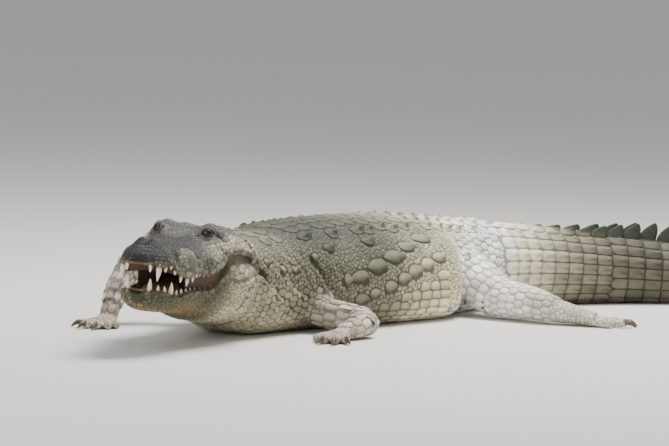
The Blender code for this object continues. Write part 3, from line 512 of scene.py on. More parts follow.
@dataclass(frozen=True)
class Body(Sheet):
    """Neck, trunk and tail: superellipse sections along a curved spine that lies on the floor."""

    # Heading of the spine, in degrees from +Y towards +X.
    heading: Table = (
        (0.0, 22), (0.65, 28), (1.3, 36), (2.0, 42), (2.7, 48), (3.4, 66), (4.2, 84), (5.2, 88), (6.3, 70),
    )  # fmt: skip
    half_width: Table = (
        (-0.3, 0.31), (0.0, 0.32), (0.35, 0.335), (0.65, 0.39), (1.0, 0.47), (1.5, 0.54), (2.0, 0.55),
        (2.12, 0.505), (2.24, 0.41), (2.4, 0.34), (2.7, 0.30), (3.0, 0.262), (3.5, 0.222), (4.0, 0.182),
        (4.6, 0.138), (5.3, 0.085), (5.9, 0.045), (6.3, 0.012),
    )  # fmt: skip
    back_height: Table = (
        (-0.3, 0.585), (0.0, 0.590), (0.35, 0.588), (0.65, 0.594), (0.8, 0.600), (1.0, 0.610), (1.3, 0.616),
        (1.7, 0.613), (2.0, 0.597), (2.4, 0.565), (2.7, 0.541), (3.0, 0.51), (3.5, 0.455), (4.0, 0.40),
        (4.6, 0.335), (5.3, 0.235), (5.9, 0.14), (6.3, 0.045),
    )  # fmt: skip
    widest_height: Table = (
        (-0.3, 0.24), (0.0, 0.24), (0.65, 0.25), (1.3, 0.22), (2.2, 0.20), (2.6, 0.25), (3.0, 0.28),
        (4.0, 0.21), (5.3, 0.11), (6.3, 0.02),
    )  # fmt: skip
    belly_height: Table = (
        (-0.3, 0.0), (0.65, -0.015), (1.5, -0.03), (2.4, -0.03), (3.0, -0.02), (4.6, -0.015), (6.3, -0.008),
    )  # fmt: skip
    back_power: Table = ((0.0, 2.2), (1.0, 2.35), (1.7, 2.35), (2.4, 2.3), (3.0, 2.2), (6.3, 2.0))
    belly_power: Table = ((0.0, 2.3), (1.0, 2.8), (2.0, 3.0), (2.7, 2.6), (3.5, 2.3), (6.3, 2.2))
    neck_blend: Table = ((0.10, 0.35), (0.40, 1.0), (0.65, 1.0))
    neck_start: float = 0.10
    neck_end: float = 0.7
    skull_powers: tuple[float, float] = (2.2, 2.5)  # of the skull's outline, above and below

    @cached_property
    def track(self) -> tuple[Array, Array, Array, Array]:
        """Distances, X, Y and heading of closely spaced points of the spine, from its start."""
        fine = np.linspace(-0.5, BODY_LENGTH, 3000)
        heading = np.radians(smooth(fine, self.heading))
        step = (fine[1] - fine[0]) * SKULL
        x = np.concatenate([[0], np.cumsum(np.sin(heading[1:]) * step)])
        y = np.concatenate([[0], np.cumsum(np.cos(heading[1:]) * step)])
        return fine, x - np.interp(0, fine, x), y - np.interp(0, fine, y), heading

    def spine(self, s: Array | float) -> tuple[Array, Array, Array]:
        """X, Y and heading of the spine at a distance behind the skull, before the row's shift."""
        fine, x, y, heading = self.track
        return np.interp(s, fine, x), np.interp(s, fine, y), np.interp(s, fine, heading)

    def section(self, s: Array, around: Array, grow: float) -> Array:
        """Superellipse section, flat where it meets the floor; the angle is 0 on the back."""
        s, around = np.broadcast_arrays(np.asarray(s, float), np.asarray(around, float))
        x, y, heading = self.spine(s)
        half = SKULL * smooth(s, self.half_width) + grow
        top = SKULL * smooth(s, self.back_height) + grow
        middle = SKULL * smooth(s, self.widest_height)
        bottom = SKULL * smooth(s, self.belly_height) - grow
        up = np.cos(around)
        power = 2 / np.where(up >= 0, smooth(s, self.back_power), smooth(s, self.belly_power))
        side = half * signed_power(np.sin(around), power)
        level = np.abs(up) ** power
        z = np.where(up >= 0, middle + (top - middle) * level, middle - (middle - bottom) * level)
        z = np.maximum(z, -grow)
        return np.stack([x + np.cos(heading) * side, y - np.sin(heading) * side, z], -1) - ORIGIN

    def skull_outline(self, around: Array, grow: float) -> Array:
        """Outline of the back of the closed head, which the neck's first sections follow."""
        half = smooth(HEAD.back, HEAD.lip_half_width) + grow / SKULL
        middle = smooth(HEAD.back, HEAD.lip_height)
        up = np.cos(around)
        power = 2 / np.where(up >= 0, *self.skull_powers)
        roof = smooth(HEAD.back, HEAD.roof_height) - middle
        throat = middle - smooth(HEAD.back, HEAD.jaw_bottom)
        reach = np.where(up >= 0, roof, throat) + grow / SKULL
        side = half * signed_power(np.sin(around), power)
        local = np.stack([HEAD.back + 0 * side, side, middle + reach * signed_power(up, power)], -1)
        return HEAD.world(local, HEAD.middle_pitch)

    def raw(self, along: Array, around: Array, grow: float = 0.0) -> Array:
        """Body section, which near the skull blends to the outline of the back of the head."""
        along, around = np.broadcast_arrays(np.asarray(along, float), np.asarray(around, float))
        behind = self.section(along, around, grow)
        blend = smooth(np.clip(along, self.neck_start, 0.65), self.neck_blend)[..., None]
        if np.all(blend >= 1.0):
            return behind
        ring, knots = turns(72, -np.pi), np.linspace(0.0, self.neck_end, 8)
        centre = traced(along, knots, self.section(knots[:, None], ring[None], grow).mean(1))
        front = self.skull_outline(around, grow)
        carried = front + centre - self.skull_outline(ring, grow).mean(0)
        carried[..., 2] = np.maximum(front[..., 2], -grow)
        return (1 - blend) * carried + blend * behind

    def net(self, grow: float) -> Net:
        """The whole body as one closed tube, which starts inside the head."""
        s = np.concatenate([np.linspace(self.neck_start, 2.7, 80), np.linspace(2.74, BODY_LENGTH, 90)])
        rings = self.raw(s[:, None], turns(96, -np.pi)[None], grow)
        first, yaw = rings[0], np.radians(HEAD.yaw)
        inner = first.mean(0) + (first - first.mean(0)) * 0.93
        inner = inner + np.array([-np.sin(yaw), -np.cos(yaw), 0.0]) * 0.12 * SKULL
        return loft(np.concatenate([grounded(inner, -grow + 0.004)[None], rings]))

    def distance(self, points: Array) -> Array:
        """Distance behind the skull of the place of the spine nearest each point.

        Args:
            points: (N, 3) places in the row frame.
        Returns:
            (N,) distances in SKULL.
        """
        fine, x, y, _ = (values[::12] for values in self.track)
        blocks = np.array_split(points[:, :2] + ORIGIN[:2], len(points) // 8000 + 1)
        gaps = ((block[:, 0, None] - x) ** 2 + (block[:, 1, None] - y) ** 2 for block in blocks)
        return np.concatenate([fine[gap.argmin(1)] for gap in gaps])


@dataclass(frozen=True)
class Tube(Sheet):
    """Oval tube along a bent path: a length of a limb, a finger or a toe."""

    path: tuple[Point, ...]
    girths: Table  # half widths and half heights
    rounding: float = 0.35  # length of each end cap, as a share of the end's half width

    @cached_property
    def knots(self) -> Array:
        """Distances along the path of its joints."""
        steps = np.linalg.norm(np.diff(np.array(self.path), axis=0), axis=1)
        return np.concatenate([[0], np.cumsum(steps)])

    def read(self, t: Array, values: Table | tuple[Point, ...]) -> Array:
        """Smooth curve through values given at the joints."""
        return curved(np.clip(t, 0, self.knots[-1]), self.knots, np.array(values))

    def frame(self, t: Array) -> tuple[Array, Array, Array, Array]:
        """Centre, forward, across and up of the sections at distances along the path."""
        forward = unit(self.read(t + 0.01, self.path) - self.read(t - 0.01, self.path))
        beyond = t - np.clip(t, 0, self.knots[-1])
        centre = self.read(t, self.path) + forward * beyond[..., None]
        across = unit(np.cross(forward, (0.0, 0.0, 1.0)))
        return centre, forward, across, np.cross(across, forward)

    def raw(self, along: Array, around: Array, grow: float = 0.0) -> Array:
        """Oval section: across by the sine and up by the cosine of the angle."""
        along, around = np.broadcast_arrays(np.asarray(along, float), np.asarray(around, float))
        centre, _, across, up = self.frame(along)
        wide, high = np.moveaxis(self.read(along, self.girths) + grow / SKULL, -1, 0)
        over = np.clip(along - self.knots[-1], 0, None) / (self.rounding * self.girths[-1][0] + 1e-9)
        under = np.clip(-along, 0, None) / (self.rounding * self.girths[0][0] + 1e-9)
        shrink = np.sqrt(np.clip(1 - np.maximum(over, under) ** 2, 0.0, 1.0))
        sideways = across * (np.sin(around) * wide * shrink)[..., None]
        upwards = up * (np.cos(around) * high * shrink)[..., None]
        return grounded(SKULL * (centre + sideways + upwards), -grow) - ORIGIN

    def net(self, grow: float) -> Net:
        """The tube with rounded ends."""
        start = -self.rounding * self.girths[0][0] * 0.96
        end = self.knots[-1] + self.rounding * self.girths[-1][0] * 0.96
        count = 12 + int((end - start) / 0.03)
        inner = np.linspace(start * 0.5, end - 0.5 * (end - self.knots[-1]), count)
        t = np.concatenate([[start], inner, [end]])
        return loft(self.raw(t[:, None], turns(40, -np.pi)[None], grow))


HEAD = Head()
BODY = Body()
ROOF, CHIN = JawSheet(True), JawSheet(False)
ORIGIN = np.array([*BODY.spine(BELLY_PLACE)[:2], 0.0])

DIGIT_RADIUS = 0.031
DIGIT_GIRTHS = tuple((DIGIT_RADIUS * wide, DIGIT_RADIUS * high) for wide, high in ((1.2, 1.1), (0.8, 0.8)))
DIGIT_LEVELS = (0.036, 0.024)  # heights of its root and its tip
ARM_GIRTHS = (
    ((0.098, 0.100), (0.092, 0.092), (0.082, 0.082)),
    ((0.084, 0.082), (0.077, 0.070), (0.055, 0.048)),
    ((0.060, 0.042), (0.085, 0.034)),
)
LEG_GIRTHS = (
    ((0.20, 0.195), (0.17, 0.168), (0.134, 0.128)),
    ((0.130, 0.124), (0.120, 0.108), (0.092, 0.084)),
    ((0.092, 0.084), (0.108, 0.042)),
)
WEB_LEVELS = (0.012, 0.033)  # heights of its lower and upper side
# Digits: angle from the foot's own direction (degrees, towards the inner side), length, has a claw.
FINGERS = ((48, 0.13, True), (24, 0.165, True), (2, 0.17, True), (-20, 0.15, False), (-44, 0.12, False))
TOES = ((24, 0.21, True), (9, 0.28, True), (-6, 0.29, True), (-22, 0.24, False))


@dataclass(frozen=True)
class Limb:
    """A leg: its upper and lower lengths and its foot as bent tubes, with digits and perhaps a web."""

    name: str
    nodes: tuple[str, str, str]
    side: str
    lengths: tuple[tuple[Point, ...], ...]
    girths: tuple[Table, ...]
    digits: tuple[tuple[float, float, bool], ...]
    inner: int  # 1 where the inner digits lie to the left of the foot's direction, -1 to the right
    webbed: bool

    def tubes(self) -> list[Tube]:
        """Upper length, lower length and palm."""
        return [Tube(path, girths) for path, girths in zip(self.lengths, self.girths)]

    def digit_tubes(self) -> list[tuple[Tube, bool]]:
        """Fingers or toes, fanned from inside the palm, and whether each bears a claw."""
        root, palm = (np.array(point) for point in self.lengths[2])
        heading = np.arctan2(palm[1] - root[1], palm[0] - root[0])
        made = []
        for angle, length, clawed in self.digits:
            turn = heading + np.radians(angle) * self.inner
            out = np.array([np.cos(turn), np.sin(turn)])
            start = root[:2] + 0.55 * (palm - root)[:2] + out * 0.02
            tip = start + out * length
            path = ((*start, DIGIT_LEVELS[0]), (*tip, DIGIT_LEVELS[1]))
            made.append((Tube(path, DIGIT_GIRTHS, 0.8), clawed))
        return made

    def web_nets(self) -> list[Net]:
        """Thin webs between neighbouring toes: flat fans from the sole, hollow at their front edge."""
        tubes = [tube for tube, _ in self.digit_tubes()]
        nets = []
        u, v = np.linspace(0, 1, 9)[:, None], np.linspace(0, 1, 9)[None]
        share = (u * (0.93 - 0.5 * (1 - (2 * v - 1) ** 2)))[..., None]
        for near, far in zip(tubes[:-1], tubes[1:]):
            a, b = (np.array(tube.path)[:, :2] for tube in (near, far))
            left, right = a[0] + (a[1] - a[0]) * share, b[0] + (b[1] - b[0]) * share
            middle = left * (1 - v[..., None]) + right * v[..., None]
            low, high = (np.concatenate([middle, np.full((9, 9, 1), level)], -1) for level in WEB_LEVELS)
            nets.append(loft(np.concatenate([low, high[:, ::-1]], 1) * SKULL - ORIGIN))
        return nets

    def nets(self, grow: float) -> list[Net]:
        """All the closed pieces of the limb, which overlap each other."""
        pieces = [tube.net(grow) for tube in self.tubes()]
        pieces += [tube.net(grow * 0.5) for tube, _ in self.digit_tubes()]
        return pieces + (self.web_nets() if self.webbed else [])


ARM = ("upper_arm", "forearm", "hand")
LEG = ("thigh", "shank", "foot")
LIMBS = (
    Limb("arm_left", ARM, "left", (
        ((0.58, 0.55, 0.150), (0.75, 0.46, 0.110), (0.935, 0.34, 0.085)),
        ((0.935, 0.34, 0.085), (0.89, 0.22, 0.074), (0.80, 0.10, 0.048)),
        ((0.81, 0.12, 0.043), (0.74, 0.00, 0.032)),
    ), ARM_GIRTHS, FINGERS, 1, False),
    Limb("arm_right", ARM, "right", (
        ((0.16, 0.80, 0.42), (-0.16, 0.80, 0.41), (-0.46, 0.73, 0.34)),
        ((-0.46, 0.73, 0.33), (-0.53, 0.67, 0.20), (-0.57, 0.58, 0.060)),
        ((-0.57, 0.60, 0.050), (-0.60, 0.46, 0.034)),
    ), ARM_GIRTHS, FINGERS, -1, False),
    Limb("leg_left", LEG, "left", (
        ((1.31, 1.91, 0.30), (1.53, 1.75, 0.24), (1.72, 1.54, 0.13)),
        ((1.72, 1.54, 0.125), (1.90, 1.40, 0.115), (2.06, 1.28, 0.09)),
        ((2.04, 1.295, 0.088), (2.30, 1.237, 0.046)),
    ), LEG_GIRTHS, TOES, 1, True),
    Limb("leg_right", LEG, "right", (
        ((1.36, 2.10, 0.34), (1.14, 2.24, 0.30), (0.91, 2.36, 0.20)),
        ((0.90, 2.36, 0.19), (1.00, 2.46, 0.13), (1.13, 2.58, 0.07)),
        ((1.14, 2.575, 0.058), (0.985, 2.605, 0.038)),
    ), LEG_GIRTHS, TOES, -1, True),
)  # fmt: skip


# ---------------------------------------------------------------- skin
def settled(made: bpy.types.Object) -> bpy.types.Object:
    """Replaces an object's mesh by what its modifiers make of it, and drops the modifiers."""
    bpy.context.view_layer.update()
    graph = bpy.context.evaluated_depsgraph_get()
    result = bpy.data.meshes.new_from_object(made.evaluated_get(graph), depsgraph=graph)
    old = made.data
    made.modifiers.clear()
    made.data = result
    bpy.data.meshes.remove(old)
    result.name = made.name
    return made


def wrapped(points: Array, skin: bpy.types.Object, offset: float) -> Array:
    """Nearest places on the skin, held a distance above it along its own normals.

    Args:
        points: (N, 3) places near the skin.
        skin: the object they are drawn to.
        offset: metres above the skin.
    Returns:
        (N, 3) places.
    """
    mesh = bpy.data.meshes.new("draft")
    mesh.vertices.add(len(points))
    moved_to(mesh, points)
    draft = bpy.data.objects.new("draft", mesh)
    bpy.context.scene.collection.objects.link(draft)
    wrap = draft.modifiers.new("wrap", "SHRINKWRAP")
    wrap.target = skin
    wrap.wrap_method = "NEAREST_SURFACEPOINT"
    wrap.wrap_mode = "ON_SURFACE" if offset == 0 else "ABOVE_SURFACE"
    wrap.offset = offset
    settled(draft)
    result, mesh = vertices_of(draft.data), draft.data
    bpy.data.objects.remove(draft)
    bpy.data.meshes.remove(mesh)
    return result


def touched(points: Array, skin: bpy.types.Object) -> tuple[Array, Array]:
    """Nearest places on the skin, and the skin's normals there."""
    met = wrapped(points, skin, 0.0)
    return met, unit(wrapped(points, skin, 0.01) - met)


def tree_of(points: Array) -> KDTree:
    """Search tree of places, each with its number."""
    tree = KDTree(len(points))
    for number, place in enumerate(points.tolist()):
        tree.insert(place, number)
    tree.balance()
    return tree


# ---------------------------------------------------------------- scales
@dataclass(frozen=True)
class Form:
    """Shape of one kind of scale: lengths are in metres over the skin."""

    sides: int
    levels: Table
    height: float
    dome: float
    keel: float
    lift: float
    gap: float
    corner: float  # power of the soft least of the distances: 5 is round, 20 is sharp
    keel_width: float = 0.20
    shade: float = 0.0  # how much darker the rear of the scale is
    edge: float = 0.62  # painted shade: how much darker its rim is, next to the groove
    under: float = 0.0  # painted shade: how much darker its lower half is
    ink: float = 0.0  # painted shadow: how much darker its keel is towards the rear


FOLD_SHADE = 0.80  # how much darker the bottom of a bare fold is
PATCH_LIMIT = 100  # patches of one ground, at most
# Rings of a scale: shares of its outline and of its height.
SMALL = ((1.0, -0.6), (0.93, 0.60), (0.60, 1.0))
MEDIUM = ((1.0, -0.6), (0.955, 0.55), (0.82, 0.95), (0.45, 1.0))
LARGE = ((1.0, -0.6), (0.965, 0.55), (0.86, 0.92), (0.62, 1.0), (0.30, 1.0))


class Scale(Enum):
    """Kinds of scale, each with its form."""

    GRAIN = Form(8, SMALL, 0.0013, 0.0008, 0.0, 0.0004, 0.0009, 9.0)
    CRACKED = Form(8, SMALL, 0.0010, 0.0005, 0.0, 0.0, 0.0016, 12.0, edge=0.65)
    LABIAL = Form(12, MEDIUM, 0.0010, 0.0008, 0.0, 0.0, 0.0008, 12.0)
    PLATE = Form(14, MEDIUM, 0.0016, 0.0022, 0.0, 0.0018, 0.0012, 18.0, edge=0.78, under=0.30)
    THROAT = Form(12, MEDIUM, 0.0014, 0.0012, 0.0, 0.0004, 0.0010, 14.0)
    OVAL = Form(16, LARGE, 0.0024, 0.0012, 0.0046, 0.0030, 0.0016, 8.0, 0.18, 0.24, 0.85, 0.62, 0.30)
    SCUTE = Form(16, LARGE, 0.0020, 0.0006, 0.0050, 0.0010, 0.0012, 9.0, 0.17, 0.15, 0.6, 0.18, 0.50)
    WHORL = Form(12, MEDIUM, 0.0018, 0.0006, 0.0, 0.0022, 0.0008, 18.0, edge=0.7)
    WHORL_KEELED = Form(12, MEDIUM, 0.0018, 0.0004, 0.0040, 0.0022, 0.0008, 16.0, 0.15, 0.08, 0.7, 0.0, 0.52)
    BAND = Form(12, MEDIUM, 0.0012, 0.0010, 0.0, 0.0006, 0.0008, 12.0)


@dataclass(frozen=True)
class Patch:
    """Rows of like scales on a part of a sheet, the same on both sides of its middle."""

    kind: Scale
    along: Span  # range along the sheet, in SKULL
    share: Span  # range around it, as a share of half its girth
    pitch: float  # metres from row to row
    width: float = 0.0  # metres from scale to scale in a row
    columns: int = 0  # scales of a row on each side; 0 takes as many as fit by the width
    stagger: bool = True
    jitter: float = 0.10
    keep: float = 1.0
    vary: float = 0.0  # share by which sizes differ at random
    swell: float = 1.0  # size of a scale against the room between its neighbours
    long: float = 1.0  # how much longer than its room it is
    relief: float = 1.0  # how much higher than others of its kind it is
    rise: float = 0.0  # change of the share for each SKULL along

    def roots(self, sheet: Sheet, dice: np.random.Generator) -> tuple[Array, Array, Array, Array]:
        """Scales' roots, row by row along the sheet.

        Row i lies at start + (i + 1/2) pitch; in it the scales share the room evenly, and every
        other row is shifted by half a scale where the patch is staggered.

        Args:
            sheet: where they grow.
            dice: source of the scatter.
        Returns:
            places along, shares around, and half sizes along and across, in metres.
        """
        start, end = self.along
        count = max(1, round((end - start) * SKULL / self.pitch))
        rows = start + (np.arange(count) + 0.5) * (end - start) / count
        half = sheet.rows(rows)[2]
        room = half * (self.share[1] - self.share[0])
        fit = self.columns or np.maximum(1, np.rint(room / self.width)).astype(int)
        fit = np.broadcast_to(fit, count)
        row = np.repeat(np.arange(count), fit)
        column = np.arange(len(row)) - np.repeat(np.cumsum(fit) - fit, fit)
        shift = np.where(self.stagger & (row % 2 == 1), 0.0, 0.5)
        share = self.share[0] + (column + shift) / fit[row] * (self.share[1] - self.share[0])
        share = share + self.rise * (rows[row] - start)
        along = np.concatenate([rows[row], rows[row]])
        share = np.concatenate([share, -share])
        across = np.tile(room[row] / fit[row] / 2, 2)
        keep = (dice.random(len(along)) < self.keep) & ~((share == 0) & (np.arange(len(along)) >= len(row)))
        lengthwise = (end - start) / count * SKULL / 2
        along = along + dice.uniform(-1, 1, len(along)) * self.jitter * 2 * lengthwise / SKULL
        share = share + dice.uniform(-1, 1, len(along)) * self.jitter * 2 * across / half[np.tile(row, 2)]
        size = self.swell * (1 + self.vary * dice.uniform(-1, 1, len(along)))
        keep &= np.abs(share) <= 1
        return along[keep], share[keep], (lengthwise * size * self.long)[keep], (across * size)[keep]


@dataclass
class Roots:
    """Roots of many scales: where each grows, how it lies, its size, kind and place on the chart."""

    place: Array
    normal: Array
    lie: Array
    size: Array  # (N, 2) half sizes along and across
    kind: Array
    chart: Array
    region: Array
    patch: Array
    relief: Array

    def taken(self, keep: Array) -> "Roots":
        """The roots that an index or a mask picks."""
        return Roots(*(values[keep] for values in vars(self).values()))


def gathered(groups: list[Roots]) -> Roots:
    """All the roots of several groups."""
    return Roots(*(np.concatenate(columns) for columns in zip(*(vars(g).values() for g in groups))))


@dataclass(frozen=True)
class Ground:
    """A sheet that bears scales, with its patches and its rectangle of the chart."""

    name: str
    sheet: Sheet
    patches: tuple[Patch, ...]
    chart: tuple[float, float, float, float]  # left, low, width, height
    span: Span  # range along the sheet that the chart's height holds
    backwards: bool = False  # the lie runs against the sheet's length
    reach: float = 0.012  # farthest that a root may be moved to meet the skin

    def roots(self, number: int, skin: bpy.types.Object, dice: np.random.Generator) -> Roots:
        """Roots of all the patches, drawn to the skin; those of buried parts are dropped."""
        columns = [patch.roots(self.sheet, dice) for patch in self.patches]
        counts = [len(column[0]) for column in columns]
        along, share, lengthwise, across = (np.concatenate(column) for column in zip(*columns))
        step = 0.004 / SKULL
        place = self.sheet.place(along, share, -COAT_DEPTH)
        ahead = self.sheet.place(along + step, share, -COAT_DEPTH) - place
        met, normal = touched(place, skin)
        lie = ahead * (-1 if self.backwards else 1)
        lie = unit(lie - normal * dot(lie, normal)[:, None])
        left, low, width, height = self.chart
        start, end = self.span
        chart = [left + width * (share + 1) / 2, low + height * (along - start) / (end - start)]
        made = Roots(
            place=met,
            normal=normal,
            lie=lie,
            size=np.stack([lengthwise, across], -1),
            kind=np.repeat([list(Scale).index(patch.kind) for patch in self.patches], counts),
            chart=np.stack(chart, -1),
            region=np.full(len(place), number),
            patch=np.repeat(PATCH_LIMIT * number + np.arange(len(counts)), counts),
            relief=np.repeat([float(patch.relief) for patch in self.patches], counts),
        )
        return made.taken((np.linalg.norm(met - place, axis=1) < self.reach) & (bared(place) <= 0.5))


@dataclass
class Tiles:
    """Solid scales of one kind: rings of points that shrink from each outline to a middle point.

    Points run scale by scale and ring by ring; then come the middles, and then the middles of the
    undersides, which are sunk into the skin.
    """

    skin: bpy.types.Object
    roots: Roots  # of the whole coat
    chosen: Array  # numbers of the roots of these scales
    form: Form
    near: Array  # numbers of the roots round each of them
    chart_size: float = 0.003  # width on the chart
    stray: float = 0.008  # farther from the skin than this, a point keeps its place
    sink: float = 0.0012

    @cached_property
    def own(self) -> Roots:
        """Roots of these scales alone."""
        return self.roots.taken(self.chosen)

    @cached_property
    def angle(self) -> Array:
        """Directions of a ring's points, from the lie towards its left."""
        return turns(self.form.sides)

    def outlines(self) -> Array:
        """Distance from root to edge in each direction.

        Measured in lengths stretched until the scale is round, the edge towards every neighbour is
        a line across the way between both roots, parted by their sizes. The outline is the soft
        least of the distances to all lines: the sum of the cosines over the distances, each to the
        power of the corner, to the power -1 / corner.

        Returns:
            (scales, sides) distances in metres.
        """
        own, others = self.own, self.roots.taken(self.near)
        offset = others.place - own.place[:, None]
        normal, lie = own.normal[:, None], own.lie[:, None]
        distance = np.linalg.norm(offset, axis=-1) + 1e-9
        x, y = dot(offset, lie), dot(offset, np.cross(normal, lie))
        flat = np.hypot(x, y) + 1e-9
        half = 1 / np.hypot(x / flat / own.size[:, None, 0], y / flat / own.size[:, None, 1])
        back_x, back_y = dot(-offset, others.lie), dot(-offset, np.cross(others.normal, others.lie))
        reach = np.hypot(back_x, back_y) + 1e-9
        other = 1 / np.hypot(back_x / reach / others.size[..., 0], back_y / reach / others.size[..., 1])
        squeeze = own.size.mean(1, keepdims=True) / own.size
        u, v = x * squeeze[:, :1], y * squeeze[:, 1:]
        stretched = np.hypot(u, v) + 1e-9
        border = stretched * distance / flat * np.clip(half / (half + other), 0.15, 0.85)
        border = np.where(dot(others.normal, normal) < 0, 1.0, border)
        ways = np.cos(self.angle) * (u / stretched * squeeze[:, :1])[..., None]
        ways = ways + np.sin(self.angle) * (v / stretched * squeeze[:, 1:])[..., None]
        pull = (np.maximum(ways, 0.0) / border[..., None]) ** self.form.corner
        cap = 1.5 / np.hypot(np.cos(self.angle) / own.size[:, :1], np.sin(self.angle) / own.size[:, 1:])
        total = pull.sum(1) + (1 / cap) ** self.form.corner
        return np.maximum(total ** (-1 / self.form.corner) - self.form.gap / 2, 0.0006)

    def each(self, values: Array) -> Array:
        """One value for each scale, given to every point of its rings and then to its middle."""
        return np.concatenate([np.repeat(values, self.form.sides * len(self.form.levels), axis=0), values])

    def of_rings(self, values: Array, middle: float) -> Array:
        """One value for each ring, given to all its points, and another to the middles."""
        count = len(self.chosen)
        spread = np.tile(np.repeat(values, self.form.sides), count)
        return np.concatenate([spread, np.full(count, middle)])

    @cached_property
    def share(self) -> Array:
        """Share of the outline at which each point lies."""
        return self.of_rings(np.array([level[0] for level in self.form.levels]), 0.0)

    @cached_property
    def rise(self) -> Array:
        """Share of the edge's height that each point has."""
        return self.of_rings(np.array([level[1] for level in self.form.levels]), 1.0)

    @cached_property
    def offsets(self) -> tuple[Array, Array]:
        """Metres along the lie and to its left of each point from its root."""
        radius = self.outlines()[:, None] * np.array([level[0] for level in self.form.levels])[None, :, None]
        middle = np.zeros(len(self.chosen))
        ways = np.cos(self.angle), np.sin(self.angle)
        return tuple(np.concatenate([(radius * way).ravel(), middle]) for way in ways)

    @cached_property
    def rear(self) -> Array:
        """How far each point lies towards the rear of its scale, in half lengths."""
        return self.offsets[0] / self.each(self.own.size[:, 0])

    @cached_property
    def apart(self) -> Array:
        """How far each point lies from the middle line of its scale, in half widths."""
        return self.offsets[1] / self.each(self.own.size[:, 1])

    @cached_property
    def inside(self) -> Array:
        """1 on the upper face away from its rim, 0 outside it."""
        return np.where(self.rise > 0, 1.0, 0.0) * ramp(self.share, 1.0, 0.80)

    def heights(self) -> Array:
        """Metres over the skin: the edge, the dome, the keel and the lift.

        The dome is 1 - r^2, the keel a bell curve of the distance to the middle line that rises to
        the rear, and the lift raises the rear edge.
        """
        form, rise = self.form, self.rise
        ridge = bell(self.apart / form.keel_width) * (0.25 + 0.75 * ramp(self.rear, -1.0, 0.45))
        bulge = form.dome * (1 - self.share**2) * (rise > 0) + form.keel * ridge * self.inside
        bulge = bulge + form.lift * np.clip(self.rear, 0, 1) ** 1.5 * np.maximum(rise, 0)
        fullness = np.clip(self.own.size.mean(1) / 0.016, 0.45, 1.25)
        return (form.height * rise + bulge * self.each(self.own.relief)) * self.each(fullness)

    @cached_property
    def points(self) -> Array:
        """Places of all points."""
        lie, normal = self.own.lie, self.own.normal
        x, y = (values[:, None] for values in self.offsets)
        flat = self.each(self.own.place) + self.each(lie) * x + self.each(np.cross(normal, lie)) * y
        base, direction = touched(flat, self.skin)
        base = np.where((np.linalg.norm(base - flat, axis=1) > self.stray)[:, None], flat, base)
        direction = unit(0.5 * direction + self.each(normal))
        points = grounded(base + direction * self.heights()[:, None], 0.0003)
        return np.concatenate([points, base[-len(normal) :] - normal * self.sink])

    def net(self) -> Net:
        """Points with the walls between rings and the fans over both middles."""
        count, rings, sides = len(self.chosen), len(self.form.levels), self.form.sides
        ring = np.arange(count * rings * sides).reshape(count, rings, sides)
        after = np.roll(ring, -1, axis=2)
        walls = np.stack([ring[:, :-1], after[:, :-1], after[:, 1:], ring[:, 1:]], -1).reshape(-1, 4)
        middle = (count * rings * sides + np.arange(count))[:, None] + np.zeros(sides, int)
        top = np.stack([middle, ring[:, -1], after[:, -1]], -1).reshape(-1, 3)
        bottom = np.stack([middle + count, after[:, 0], ring[:, 0]], -1).reshape(-1, 3)
        return Net(self.points, [walls, top, bottom])

    def painted_shading(self) -> Array:
        """Painted shade of rim, rear, lower half, keel and folds, taken from 1; the undersides' rim is last."""
        form, share, upper = self.form, self.share, self.points[: len(self.share)]
        # Painted shade: darker rim by the groove, darker rear, and darker lower half, as if in shadow.
        light = 1 - form.edge * ramp(share, 0.93, 1.0)
        light -= form.shade * ramp(self.rear, 0.15, 0.95) * ramp(share, 0.1, 0.7)
        low = (self.each(self.own.place[:, 2]) - upper[:, 2]) / self.each(self.own.size[:, 1])
        light -= form.under * ramp(low, -0.05, 0.40) * ramp(share, 0.15, 0.6)
        # Painted shadow along the keel, darker towards the rear.
        keel_shadow = bell(self.apart / (1.9 * form.keel_width)) * ramp(self.rear, -0.35, 0.35)
        light -= form.ink * keel_shadow * self.inside * self.each(np.minimum(self.own.relief, 1.6))
        light *= 1 - 0.6 * FOLD_SHADE * ramp(creased(upper, True), -0.003, -0.011)
        return np.maximum(np.concatenate([light, np.full(len(self.chosen), 1 - form.edge)]), 0.2)

    def colour(self, markings: "Markings") -> Array:
        """Colour of each point: that of the hide at its root, with the scale's own tone and painted shade."""
        tone = markings.tile_tone(self.own.place, self.chosen)
        colour = markings.colour(self.own.place) * tone[:, None]
        return np.concatenate([self.each(colour), colour]) * self.painted_shading()[:, None]

    def chart(self) -> Array:
        """Place of each point on the chart: the scale's own patch, round its root's place."""
        rings = self.share[: -len(self.chosen), None]
        turn = np.tile(self.angle, len(rings) // self.form.sides)
        around = np.stack([np.cos(turn), np.sin(turn)], -1) * rings * (self.chart_size / 2)
        middles = self.own.chart
        chart = np.repeat(middles, self.form.sides * len(self.form.levels), axis=0) + around
        return np.concatenate([chart, middles, middles])


